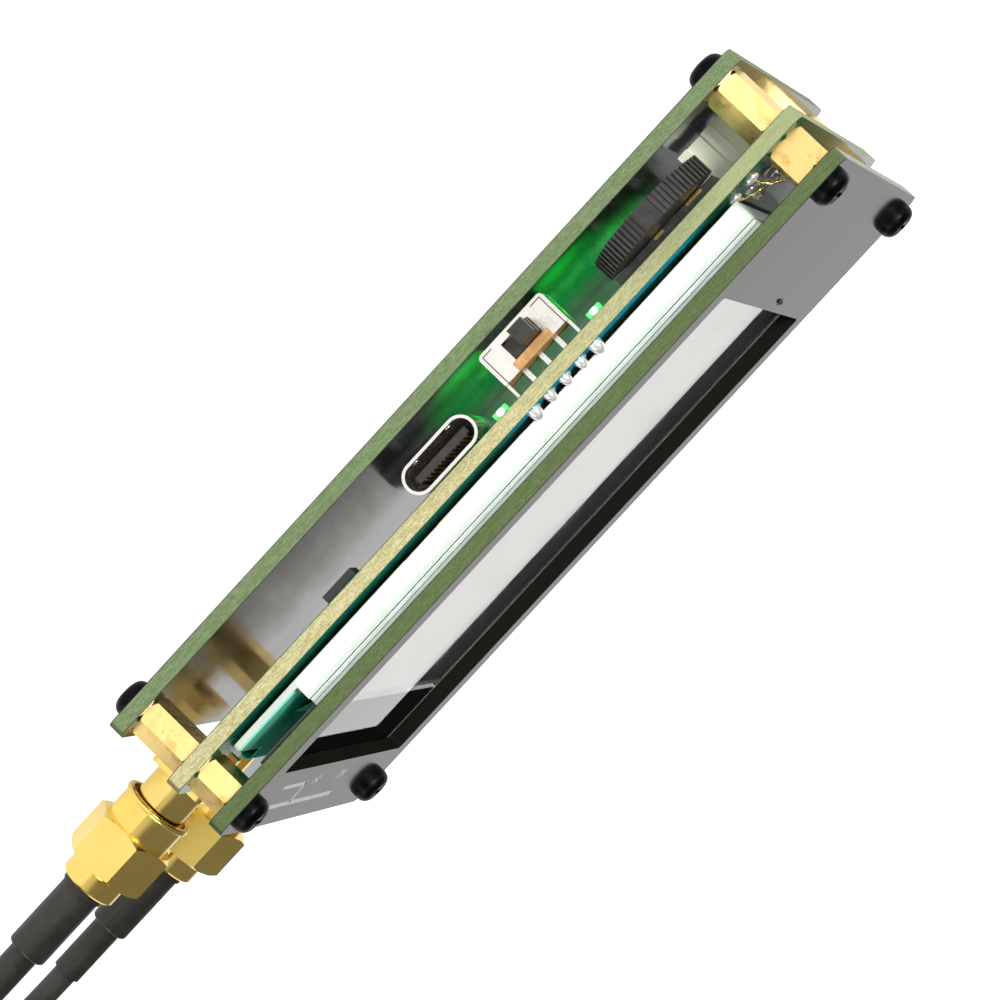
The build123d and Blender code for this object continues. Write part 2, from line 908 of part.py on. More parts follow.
def jack_body(side):
    y = jack_y(side)
    flange = Pos(-board_end, y, jack_z) * Rot(0, -90, 0) * extrude(
        RectangleRounded(flange_size, flange_size, flange_corner), flange_thickness
    )
    body = flange + bar(jack_face, y, jack_z, jack_neck, jack_neck_length)
    thread = bar(thread_start, y, jack_z, jack_thread, jack_thread_length)
    body += chamfer(thread.edges().filter_by(GeomType.CIRCLE), jack_thread_chamfer)
    span = (flange_size - leg_width) / 2
    top_room = jack_z + flange_size / 2 - main_top
    for leg_side in (-1, 1):
        leg_y = y + leg_side * span
        leg_x = -board_end + leg_length / 2
        body += block(leg_x, leg_y, main_top, leg_length, leg_width, top_room)
        body += block(leg_x, leg_y, main_z - leg_width, leg_length, leg_width, leg_width)
    whole_length = -board_end - jack_tip
    body -= bar(-board_end, y, jack_z, jack_insulator, whole_length)
    return body - bar(jack_tip + jack_bore_depth, y, jack_z, jack_bore, jack_bore_depth)


def jack_insulator_body(side):
    y = jack_y(side)
    length = -board_end - jack_tip - jack_bore_depth
    insulator = bar(-board_end, y, jack_z, jack_insulator, length)
    return insulator - bar(-board_end, y, jack_z, jack_socket, length)


def jack_contact(side):
    """The centre contact: a socket towards the plug and a tail soldered to the board's hidden face."""
    y = jack_y(side)
    length = -board_end - jack_tip - jack_bore_depth
    contact = bar(-board_end, y, jack_z, jack_socket, length)
    socket_start = jack_tip + jack_bore_depth + jack_socket_depth
    contact -= bar(socket_start, y, jack_z, jack_socket_bore, jack_socket_depth)
    tail_top = main_z - jack_z + jack_socket / 2
    tail = block(
        -board_end + jack_tail_length / 2,
        y,
        jack_z - jack_socket / 2,
        jack_tail_length,
        jack_socket,
        tail_top,
    )
    return contact + tail


# ---------------------------------------------------------------- lead plugs
def plug_frame(face_x, y, z, facing):
    """The plug's own frame: local +Z runs from the mating face back along the lead."""
    return Plane((face_x, y, z), x_dir=(0, 1, 0), z_dir=(facing, 0, 0))


def rod(low, high, width):
    return Pos(0, 0, low) * Cylinder(width / 2, high - low, align=(Align.CENTER, Align.CENTER, Align.MIN))


def coupling_nut(turn):
    """Collar with a rolled lip, hexagon, thread bore, and the back wall that holds the shoulder."""
    start = nut_back_wall + shoulder_length + shoulder_play - nut_length
    collar_end = start + nut_collar_length
    end = start + nut_length
    hexagon = extrude(RegularPolygon(nut_flats / 2, 6, major_radius=False), nut_hex_length)
    corner = nut_flats / 2 / cos(radians(30))
    cone = Cylinder(corner, nut_hex_length, align=(Align.CENTER, Align.CENTER, Align.MIN))
    cone = chamfer(cone.edges().filter_by(GeomType.CIRCLE), nut_chamfer * 0.7, nut_chamfer)
    nut = Pos(0, 0, collar_end) * (hexagon & cone)
    nut += rod(start, collar_end, nut_collar_width)
    lip = rod(start, start + nut_lip_length, nut_lip_width)
    nut += fillet(lip.edges().filter_by(GeomType.CIRCLE), nut_lip_length * 0.4)
    nut -= rod(start, end - nut_back_wall, nut_bore)
    nut -= rod(start, end, neck_width + 2 * nut_thread_play)
    return Rot(0, 0, turn) * nut


def plug_body():
    """Mating shell, shoulder held by the nut, neck and ferrule, with the bore for the pin."""
    shoulder_low = shoulder_play / 2
    shoulder_high = shoulder_low + shoulder_length
    nut_end = nut_back_wall + shoulder_length + shoulder_play
    ferrule_low = nut_end + shoulder_play
    body = rod(-plug_shell_reach, shoulder_low, plug_shell)
    body += rod(shoulder_low, shoulder_high, nut_bore - 4 * nut_thread_play)
    body += rod(shoulder_high, ferrule_low, neck_width)
    ferrule = rod(ferrule_low, ferrule_low + ferrule_length, ferrule_width)
    body += chamfer(ferrule.edges().filter_by(GeomType.CIRCLE), ferrule_chamfer)
    socket = plug_shell - 2 * plug_shell_wall
    body -= rod(-plug_shell_reach, shoulder_low, socket)
    return body - rod(shoulder_low, ferrule_low, plug_pin)


def plug_pin_body():
    ferrule_low = nut_back_wall + shoulder_length + 2 * shoulder_play
    pin = rod(-plug_pin_reach, ferrule_low, plug_pin)
    return chamfer(pin.edges().group_by(Axis.Z)[0], plug_pin * 0.3)


def ferrule_end():
    return nut_back_wall + shoulder_length + 2 * shoulder_play + ferrule_length


def sleeves():
    """Two heat-shrink sleeves: the wide one grips the ferrule's end, the narrow one the cable."""
    start = ferrule_end()
    step = start + crimp_sleeve_length
    wide = rod(start, step, crimp_sleeve_width)
    wide = fillet(wide.edges().group_by(Axis.Z)[-1], crimp_sleeve_round)
    wide += rod(start, start + crimp_sleeve_rim_length, crimp_sleeve_rim)
    narrow = rod(step, step + relief_sleeve_length, relief_sleeve_width)
    return [wide, narrow]


# ---------------------------------------------------------------- lead cables
def arc_between(start, heading, end, far_heading):
    """Two arcs that meet smoothly: a biarc from start to end with the given headings."""
    chord = end - start
    a = 2 * (1 - heading.dot(far_heading))
    b = 2 * chord.dot(heading + far_heading)
    c = -chord.dot(chord)
    reach = (-b + sqrt(b * b - 4 * a * c)) / (2 * a)
    knee_in = start + heading * reach
    knee_out = end - far_heading * reach
    joint = (knee_in + knee_out) * 0.5
    return [one_arc(start, knee_in, joint), one_arc(joint, knee_out, end)]


def one_arc(start, knee, end):
    middle = (start + end) * 0.5
    rise = knee - middle
    half_chord = (end - start).length / 2
    turn = (knee - start).get_angle(end - start)
    sagitta = half_chord * tan(radians(turn / 2))
    return ThreePointArc(start, middle + rise.normalized() * sagitta, end)


def coil_point(centre, side, top, turned):
    """A point of the widening, sinking coil after so many degrees of winding."""
    share = turned / 360
    radius = coil_inner_radius + coil_step * share
    z = top - (top - cable_r) * share / coil_turns
    angle = radians(-90 * side + -turned * side)
    return Vector(centre.X + radius * cos(angle), centre.Y + radius * sin(angle), z)


def coil_heading(centre, side, top, turned):
    before = coil_point(centre, side, top, turned - 0.5)
    after = coil_point(centre, side, top, turned + 0.5)
    return (after - before).normalized()


def lead_route(side):
    return near_lead_route if side > 0 else far_lead_route


def tube(path, start, heading):
    section = Plane(start, z_dir=heading) * Circle(cable_r)
    return sweep(section, path=path)


def corner_radii(points):
    """Each bend of a free cable is as large as its two runs allow."""
    radii = []
    for before, here, after in zip(points, points[1:], points[2:]):
        shorter = min((here - before).length, (after - here).length)
        turn = (here - before).get_angle(after - here)
        radii.append(0.45 * shorter / tan(radians(turn / 2)))
    return radii


def free_cable(name, points):
    radii = corner_radii(points)
    path = FilletPolyline(*points, radius=radii)
    solid = tube(path, points[0], points[1] - points[0])
    ideal = pi * cable_r**2 * path.length
    print(name, "bend radii", [round(r, 1) for r in radii], "length", round(path.length, 1))
    print(name, "volume over section times length", round(solid.volume / ideal, 4))
    return solid, path.length


def least_gap(points, skip):
    gap = 1e9
    for i, p in enumerate(points):
        for q in points[i + skip :]:
            gap = min(gap, (p - q).length)
    return gap - cable_width


def lead_coil(side, start, heading):
    lead_in = start + heading * cable_width
    top = lead_in.Z
    centre = Vector(lead_in.X, lead_in.Y + side * coil_inner_radius, 0)
    stops = [90 * k for k in range(coil_quarters * coil_turns + 1)]
    edges = []
    for low, high in zip(stops, stops[1:]):
        here = lead_in if low == 0 else coil_point(centre, side, top, low)
        there = coil_point(centre, side, top, high)
        start_heading = heading if low == 0 else coil_heading(centre, side, top, low)
        end_heading = Vector(-1, 0, 0) if high == stops[-1] else coil_heading(centre, side, top, high)
        edges += arc_between(here, start_heading, there, end_heading)
    turned_out = coil_point(centre, side, top, stops[-1])
    end = turned_out - Vector(cable_width, 0, 0)
    edges = [Line(start, lead_in)] + edges + [Line(turned_out, end)]
    path = Wire([e for curve in edges for e in curve.edges()])
    samples = [path.position_at(k / 600) for k in range(601)]
    print("coil gap to itself", round(least_gap(samples, 60), 2), "length", round(path.length, 1))
    solid = tube(path, start, heading)
    print("coil volume over section times length", round(solid.volume / (pi * cable_r**2 * path.length), 4))
    return solid, end, path.length


def lead(side, name):
    """Saves one lead: nut, plug, sleeves, cable, coil, tail, and the same plug at its far end."""
    y = jack_y(side)
    near = plug_frame(jack_tip, y, jack_z, -1)
    turn = near_nut_turn if side > 0 else far_nut_turn
    save(f"{name}_plug_nut", near.location * coupling_nut(turn))
    save(f"{name}_plug", near.location * plug_body())
    save(f"{name}_sleeves", *[near.location * s for s in sleeves()])
    start = Vector(jack_tip - ferrule_end() - sleeves_length, y, jack_z)
    points = [start] + [start + Vector(*p) for p in lead_route(side)]
    cable, cable_length = free_cable(f"{name}_lead_cable", points)
    save(f"{name}_lead_cable", cable)
    last = points[-1]
    coil, coil_end, coil_length = lead_coil(side, last, (last - points[-2]).normalized())
    save(f"{name}_lead_coil", coil)
    rise = end_axis_z - cable_r
    tail_points = [coil_end + Vector(x, 0, share * rise) for x, share in tail_route]
    tail, tail_length = free_cable(f"{name}_lead_tail", tail_points)
    save(f"{name}_lead_tail", tail)
    end_x = tail_points[-1].X - sleeves_length - ferrule_end()
    far = plug_frame(end_x, coil_end.Y, end_axis_z, 1)
    save(f"{name}_end_sleeves", *[far.location * s for s in sleeves()])
    save(f"{name}_end_plug", far.location * plug_body())
    save(f"{name}_end_nut", far.location * coupling_nut(end_nut_turn))
    free = cable_length + coil_length + tail_length
    whole = free + 2 * (sleeves_length + ferrule_end() + plug_pin_reach)
    print(name, "free cable", round(free, 1), "tip to tip", round(whole, 1))
    return near.location * plug_pin_body(), far.location * plug_pin_body()


# ---------------------------------------------------------------- everything
def build():
    os.makedirs("parts", exist_ok=True)
    save("front_panel", front_panel())
    save("main_board", main_board())
    save("back_panel", board_blank(back_z))
    save("front_spacers", *[front_spacer(x, y) for x, y in corners])
    save("rear_spacers", *[rear_spacer(x, y) for x, y in corners])
    save("front_screws", *[screw(x, y, front_top, 1) for x, y in corners])
    save("back_screws", *[screw(x, y, back_z, -1) for x, y in corners])
    save("display_frame", display_frame_body())
    save("display_cell", display_plate(cell_z, cell_thickness, cell_margin))
    save("touch_glass", touch_glass())
    save("foam_tape", *foam_pads(), battery_tape_pad(), over_ledge(touch_z - border_tape, border_tape))
    save("display_flex", display_flex())
    save("usb_shell", usb_shell())
    save("usb_tongue", usb_tongue())
    save("usb_contacts", *usb_contacts())
    save("switch_cover", switch_cover())
    save("switch_base", switch_base())
    save("switch_slider", switch_slider())
    save("switch_pins", *switch_pins())
    save("solder_joints", *solder_joints())
    save("jog_dial", jog_dial())
    save("jog_carrier", jog_carrier())
    save("jog_base", jog_base())
    save("jog_contacts", *jog_contacts())
    save("status_lamps", *status_lamps())
    save("battery_header", battery_header())
    save("header_pins", *header_pins())
    save("battery_plug", battery_plug())
    save("battery", battery())
    save("battery_wires", *battery_wires())
    save("shield_can", shield_can())
    save("radio_chips", *radio_chips())
    save("processor", hung(*processor_place, processor_size, processor_size, processor_height))
    save("power_chips", *power_chips(), edge_chip())
    save("crystals", *crystals())
    save("passives", *passives())
    save("near_jack", jack_body(1))
    save("far_jack", jack_body(-1))
    save("jack_insulators", *[jack_insulator_body(s) for s in (1, -1)])
    save("jack_contacts", *[jack_contact(s) for s in (1, -1)])
    pins = lead(1, "near") + lead(-1, "far")
    save("plug_pins", *pins)
    print("origin from the boards' middle", round(origin_x, 3), round(origin_y, 3))


build()
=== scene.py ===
"""An antenna analyzer of three stacked circuit boards, with two coaxial test leads, in its studio."""

import json
from math import cos, pi, radians, sin

import bmesh
import bpy
from mathutils import Matrix, Vector


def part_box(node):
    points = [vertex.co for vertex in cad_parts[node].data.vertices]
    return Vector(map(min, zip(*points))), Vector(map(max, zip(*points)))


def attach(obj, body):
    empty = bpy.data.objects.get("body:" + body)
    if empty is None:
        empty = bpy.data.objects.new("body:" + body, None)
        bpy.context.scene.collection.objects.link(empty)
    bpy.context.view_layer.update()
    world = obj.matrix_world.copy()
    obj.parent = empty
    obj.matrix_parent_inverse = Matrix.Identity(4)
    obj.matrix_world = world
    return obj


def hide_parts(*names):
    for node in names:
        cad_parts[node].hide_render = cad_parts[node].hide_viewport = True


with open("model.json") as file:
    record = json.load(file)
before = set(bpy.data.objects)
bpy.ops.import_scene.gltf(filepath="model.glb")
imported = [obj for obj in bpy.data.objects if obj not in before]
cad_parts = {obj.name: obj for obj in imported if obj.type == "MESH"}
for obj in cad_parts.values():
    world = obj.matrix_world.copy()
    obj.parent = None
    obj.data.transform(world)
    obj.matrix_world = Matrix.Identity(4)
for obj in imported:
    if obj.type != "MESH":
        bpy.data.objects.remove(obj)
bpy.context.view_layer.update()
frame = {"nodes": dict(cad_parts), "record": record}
nodes = frame["nodes"]

MM = 0.001
ANALYZER = "analyzer"
X, Y, Z = range(3)

# The middle of the boards, at the table's height. Every place below is measured from it.
board_low, board_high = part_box("main_board")
BOARD_MIDDLE = Vector(round(value, 6) for value in (board_low + board_high) / 2)
BOARD_MIDDLE.z = 0


def at(x, y, z):
    """A point given in millimetres from the middle of the boards."""
    return BOARD_MIDDLE + Vector((x, y, z)) * MM


def span(node, axis):
    """Where a node starts and ends along an axis, in millimetres from the middle of the boards."""
    return [round((corner - BOARD_MIDDLE)[axis] / MM, 3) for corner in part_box(node)]


def middle(node, axis):
    return sum(span(node, axis)) / 2


BACK_FACE = span("back_panel", Z)[0]
MAIN_BACK, MAIN_FRONT = span("main_board", Z)
FRONT_BACK, FRONT_FACE = span("front_panel", Z)
BOARD_THICK = FRONT_FACE - FRONT_BACK
MASK_SKIN = 0.07
JACK_Y = middle("near_jack", Y)
JACK_Z = middle("near_jack", Z)
CABLE = 2.5


# ---------------------------------------------------------------- shared shader groups
def group_with(name, inputs, outputs):
    """A new node group with named sockets, as the group, its given values and its results."""
    group = bpy.data.node_groups.new(name, "ShaderNodeTree")
    for label, kind, value in inputs:
        socket = group.interface.new_socket(name=label, in_out="INPUT", socket_type=kind)
        if value is not None:
            socket.default_value = value
    for label, kind in outputs:
        group.interface.new_socket(name=label, in_out="OUTPUT", socket_type=kind)
    start = group.nodes.new("NodeGroupInput")
    end = group.nodes.new("NodeGroupOutput")
    return group, start.outputs, end.inputs


def math_node(tree, operation, a, b=None, clamp=False):
    """One math step on numbers or sockets."""
    node = tree.nodes.new("ShaderNodeMath")
    node.operation = operation
    node.use_clamp = clamp
    for socket, value in zip(node.inputs, (a, b)):
        if isinstance(value, (int, float)):
            socket.default_value = value
        elif value is not None:
            tree.links.new(value, socket)
    return node.outputs[0]


def noise(tree, vector, scale, detail=3.0, rough=0.5):
    node = tree.nodes.new("ShaderNodeTexNoise")
    node.inputs["Detail"].default_value = detail
    node.inputs["Roughness"].default_value = rough
    tree.links.new(vector, node.inputs["Vector"])
    if isinstance(scale, (int, float)):
        node.inputs["Scale"].default_value = scale
    else:
        tree.links.new(scale, node.inputs["Scale"])
    return node.outputs["Fac"]


def remap(tree, value, low, high, to_low, to_high):
    node = tree.nodes.new("ShaderNodeMapRange")
    tree.links.new(value, node.inputs["Value"])
    for label, number in zip(("From Min", "From Max", "To Min", "To Max"), (low, high, to_low, to_high)):
        if isinstance(number, (int, float)):
            node.inputs[label].default_value = number
        else:
            tree.links.new(number, node.inputs[label])
    return node.outputs["Result"]


def stretched(tree, vector, x, y, z):
    """Coordinates scaled by a factor along each axis."""
    node = tree.nodes.new("ShaderNodeMapping")
    node.inputs["Scale"].default_value = (x, y, z)
    tree.links.new(vector, node.inputs["Vector"])
    return node.outputs["Vector"]


def mixed(tree, mask, one, two):
    """The first colour where the mask is 0 and the second where it is 1."""
    node = tree.nodes.new("ShaderNodeMix")
    node.data_type = "RGBA"
    for socket, value in ((node.inputs[0], mask), (node.inputs[6], one), (node.inputs[7], two)):
        if isinstance(value, tuple):
            socket.default_value = (*value, 1) if len(value) == 3 else value
        elif isinstance(value, (int, float)):
            socket.default_value = value
        else:
            tree.links.new(value, socket)
    return node.outputs[2]


def make_handling():
    """Smudges and fine dust that vary the gloss of a handled surface, and a faint unevenness."""
    group, given, result = group_with(
        "handling",
        [
            ("Vector", "NodeSocketVector", None),
            ("Scale", "NodeSocketFloat", 400.0),
            ("Glossy", "NodeSocketFloat", 0.2),
            ("Dull", "NodeSocketFloat", 0.4),
        ],
        [("Roughness", "NodeSocketFloat"), ("Height", "NodeSocketFloat"), ("Mask", "NodeSocketFloat")],
    )
    broad = noise(group, given["Vector"], given["Scale"], 4.0, 0.6)
    fine = noise(group, given["Vector"], math_node(group, "MULTIPLY", given["Scale"], 7.0), 2.0, 0.5)
    share = math_node(group, "MULTIPLY", broad, 0.7)
    both = math_node(group, "ADD", share, math_node(group, "MULTIPLY", fine, 0.3))
    mask = remap(group, both, 0.38, 0.62, 0.0, 1.0)
    group.links.new(remap(group, mask, 0.0, 1.0, given["Glossy"], given["Dull"]), result["Roughness"])
    group.links.new(fine, result["Height"])
    group.links.new(mask, result["Mask"])
    return group


def make_specks():
    """Small scattered specks, such as pits in brass or grit on plastic."""
    group, given, result = group_with(
        "specks",
        [
            ("Vector", "NodeSocketVector", None),
            ("Scale", "NodeSocketFloat", 1500.0),
            ("Size", "NodeSocketFloat", 0.12),
        ],
        [("Mask", "NodeSocketFloat")],
    )
    cells = group.nodes.new("ShaderNodeTexVoronoi")
    group.links.new(given["Vector"], cells.inputs["Vector"])
    group.links.new(given["Scale"], cells.inputs["Scale"])
    near = math_node(group, "LESS_THAN", cells.outputs["Distance"], given["Size"])
    chosen = math_node(group, "GREATER_THAN", noise(group, given["Vector"], given["Scale"], 0.0), 0.60)
    group.links.new(math_node(group, "MULTIPLY", near, chosen), result["Mask"])
    return group


def make_glass_fibre():
    """The cut edge of a fibreglass board: plies along the board, split into short light and dark strands."""
    group, given, result = group_with(
        "glass fibre edge",
        [
            ("Vector", "NodeSocketVector", None),
            ("Resin", "NodeSocketColor", (0.3, 0.35, 0.2, 1)),
            ("Strand", "NodeSocketColor", (0.7, 0.72, 0.5, 1)),
            ("Dark", "NodeSocketColor", (0.1, 0.14, 0.05, 1)),
        ],
        [("Color", "NodeSocketColor"), ("Height", "NodeSocketFloat")],
    )
    plies = noise(group, stretched(group, given["Vector"], 1100, 1100, 6500), 1.0, 2.0, 0.5)
    strands = noise(group, stretched(group, given["Vector"], 4400, 4400, 8500), 1.0, 3.0, 0.6)
    flecks = noise(group, stretched(group, given["Vector"], 9000, 9000, 11000), 1.0, 0.0, 0.5)
    light = remap(group, math_node(group, "ADD", plies, strands), 0.86, 1.2, 0.0, 1.0)
    dark = remap(group, flecks, 0.42, 0.28, 0.0, 0.65)
    color = mixed(group, light, given["Resin"], given["Strand"])
    group.links.new(mixed(group, dark, color, given["Dark"]), result["Color"])
    group.links.new(strands, result["Height"])
    return group


HANDLING = make_handling()
SPECKS = make_specks()
GLASS_FIBRE = make_glass_fibre()


# ---------------------------------------------------------------- materials
def surface(name, color, roughness=0.4, metallic=0.0, **sockets):
    """A plain finish, as a material with its tree, shader and object coordinates."""
    finish = bpy.data.materials.new(name)
    finish.use_nodes = True
    tree = finish.node_tree
    shader = tree.nodes["Principled BSDF"]
    shader.inputs["Base Color"].default_value = (*color, 1)
    shader.inputs["Roughness"].default_value = roughness
    shader.inputs["Metallic"].default_value = metallic
    for label, value in sockets.items():
        shader.inputs[label.replace("_", " ")].default_value = value
    place = tree.nodes.new("ShaderNodeTexCoord")
    return finish, tree, shader, place


def use_group(tree, group, vector, **values):
    node = tree.nodes.new("ShaderNodeGroup")
    node.node_tree = group
    tree.links.new(vector, node.inputs["Vector"])
    for label, value in values.items():
        node.inputs[label].default_value = (*value, 1) if isinstance(value, tuple) else value
    return node.outputs


def raised(tree, shader, height, distance, strength=0.5):
    """Sets a shader's only bump; a later call takes its place."""
    bump = tree.nodes.new("ShaderNodeBump")
    bump.inputs["Distance"].default_value = distance
    bump.inputs["Strength"].default_value = strength
    tree.links.new(height, bump.inputs["Height"])
    tree.links.new(bump.outputs["Normal"], shader.inputs["Normal"])


def handled(name, color, glossy, dull, metallic=0.0, scale=400.0, tint=None, depth=0.01 * MM, **sockets):
    """A finish whose gloss and colour vary a little from handling."""
    finish, tree, shader, place = surface(name, color, (glossy + dull) / 2, metallic, **sockets)
    out = use_group(tree, HANDLING, place.outputs["Object"], Scale=scale, Glossy=glossy, Dull=dull)
    tree.links.new(out["Roughness"], shader.inputs["Roughness"])
    if tint:
        tree.links.new(mixed(tree, out["Mask"], color, tint), shader.inputs["Base Color"])
    raised(tree, shader, out["Height"], depth)
    return finish, tree, shader, place, out


def side_mask(tree, place):
    """1 on the upright edges of a board, 0 on its two faces."""
    parts = tree.nodes.new("ShaderNodeSeparateXYZ")
    tree.links.new(place.outputs["Normal"], parts.inputs[0])
    return math_node(tree, "LESS_THAN", math_node(tree, "ABSOLUTE", parts.outputs[2]), 0.5)


def inside_box(tree, place, centre, half_x, half_y, fade=0.01 * MM):
    """1 inside an upright box round a centre; its two ends along X fade out over a length."""
    parts = tree.nodes.new("ShaderNodeSeparateXYZ")
    tree.links.new(place.outputs["Object"], parts.inputs[0])
    along = math_node(tree, "ABSOLUTE", math_node(tree, "SUBTRACT", parts.outputs[0], centre.x))
    across = math_node(tree, "ABSOLUTE", math_node(tree, "SUBTRACT", parts.outputs[1], centre.y))
    return math_node(
        tree,
        "MULTIPLY",
        remap(tree, along, half_x, half_x - fade, 0.0, 1.0),
        math_node(tree, "LESS_THAN", across, half_y),
    )


def mask_skin(tree, place, back):
    """1 where a board's edge shows the skin of solder mask beside either face; back is its lower face."""
    parts = tree.nodes.new("ShaderNodeSeparateXYZ")
    tree.links.new(place.outputs["Object"], parts.inputs[0])
    core = (back + BOARD_THICK / 2) * MM
    off = math_node(tree, "ABSOLUTE", math_node(tree, "SUBTRACT", parts.outputs[2], core))
    return math_node(tree, "GREATER_THAN", off, (BOARD_THICK / 2 - MASK_SKIN) * MM)


def end_mask(tree, place):
    """1 on the short edge beside the jacks, which is sawn and duller."""
    parts = tree.nodes.new("ShaderNodeSeparateXYZ")
    tree.links.new(place.outputs["Normal"], parts.inputs[0])
    return math_node(tree, "LESS_THAN", parts.outputs[0], -0.5)


def board_material(
    name,
    mask_color,
    resin,
    strand,
    dark,
    back,
    skin,
    wall=None,
    tracks=None,
    painted_reflections=(),
    greener=None,
    **sockets,
):
    """Solder mask on the two faces of a board and bare glass fibre on its edges.

    back is the board's lower face. skin is the mask's colour where the edge cuts it, and tracks that of
    copper under the mask. A wall is a box inside which the edge is painted, and painted reflections are such
    boxes on the faces. Towards the far end the edge turns to the colour that is given as greener.
    """
    finish, tree, shader, place, out = handled(name, mask_color, 0.09, 0.17, scale=160.0, **sockets)
    edge = side_mask(tree, place)
    fibre = use_group(tree, GLASS_FIBRE, place.outputs["Object"], Resin=resin, Strand=strand, Dark=dark)
    edge_color = mixed(tree, end_mask(tree, place), fibre["Color"], dark)
    if greener:
        parts = tree.nodes.new("ShaderNodeSeparateXYZ")
        tree.links.new(place.outputs["Object"], parts.inputs[0])
        share = remap(tree, parts.outputs[0], at(2, 0, 0).x, at(40, 0, 0).x, 0.0, 0.75)
        edge_color = mixed(tree, share, edge_color, greener)
    edge_color = mixed(tree, mask_skin(tree, place, back), edge_color, skin)
    if wall:
        centre, half_x, half_y, color = wall
        inside = inside_box(tree, place, centre, half_x, half_y)
        edge_color = mixed(tree, inside, edge_color, color)
        coat = shader.inputs["Coat Weight"]
        bare = math_node(tree, "MULTIPLY", inside, edge)
        tree.links.new(remap(tree, bare, 0.0, 1.0, coat.default_value, 0.0), coat)
    face_color = mask_color
    height = out["Height"]
    if tracks:
        lines = tree.nodes.new("ShaderNodeTexBrick")
        lines.inputs["Scale"].default_value = 1.0
        lines.inputs["Mortar Size"].default_value = 0.05
        lines.inputs["Mortar Smooth"].default_value = 0.1
        lines.inputs["Brick Width"].default_value = 4.2
        lines.inputs["Row Height"].default_value = 0.45
        tree.links.new(stretched(tree, place.outputs["Object"], 1000, 1000, 1000), lines.inputs["Vector"])
        face_color = mixed(tree, lines.outputs["Fac"], mask_color, tracks)
        height = lines.outputs["Fac"]
    # Painted reflections: inside each box the face takes the box's colour, a reflection painted into the
    # mask.
    for centre, half_x, half_y, color in painted_reflections:
        face_color = mixed(tree, inside_box(tree, place, centre, half_x, half_y, 4 * MM), face_color, color)
    tree.links.new(mixed(tree, edge, face_color, edge_color), shader.inputs["Base Color"])
    tree.links.new(
        math_node(tree, "ADD", out["Roughness"], math_node(tree, "MULTIPLY", edge, 0.5), clamp=True),
        shader.inputs["Roughness"],
    )
    both = math_node(
        tree,
        "ADD",
        math_node(tree, "MULTIPLY", fibre["Height"], edge),
        math_node(tree, "MULTIPLY", height, 0.15 if tracks else 0.02),
    )
    raised(tree, shader, both, 0.05 * MM, 0.6)
    return finish


STAIN = (0.80, 0.36, 0.06)


def metal(name, color, glossy, dull, scale=500.0, tint=None, pits=None, stretch=None, depth=0.004 * MM):
    """Bare or plated metal: gloss that varies, fine tool marks along it, and pits with brown stains."""
    finish, tree, shader, place, out = handled(name, color, glossy, dull, 1.0, scale, tint, depth)
    if stretch:
        lines = noise(tree, stretched(tree, place.outputs["Object"], *stretch), 1.0, 2.0, 0.5)
        raised(tree, shader, lines, 0.01 * MM, 0.35)
    if pits:
        mask = use_group(tree, SPECKS, place.outputs["Object"], Scale=1400.0, Size=0.09)["Mask"]
        stains = remap(tree, noise(tree, place.outputs["Object"], 420.0, 2.0, 0.6), 0.58, 0.68, 0.0, 0.45)
        stained = mixed(tree, stains, color, STAIN)
        tree.links.new(mixed(tree, mask, stained, pits), shader.inputs["Base Color"])
    return finish


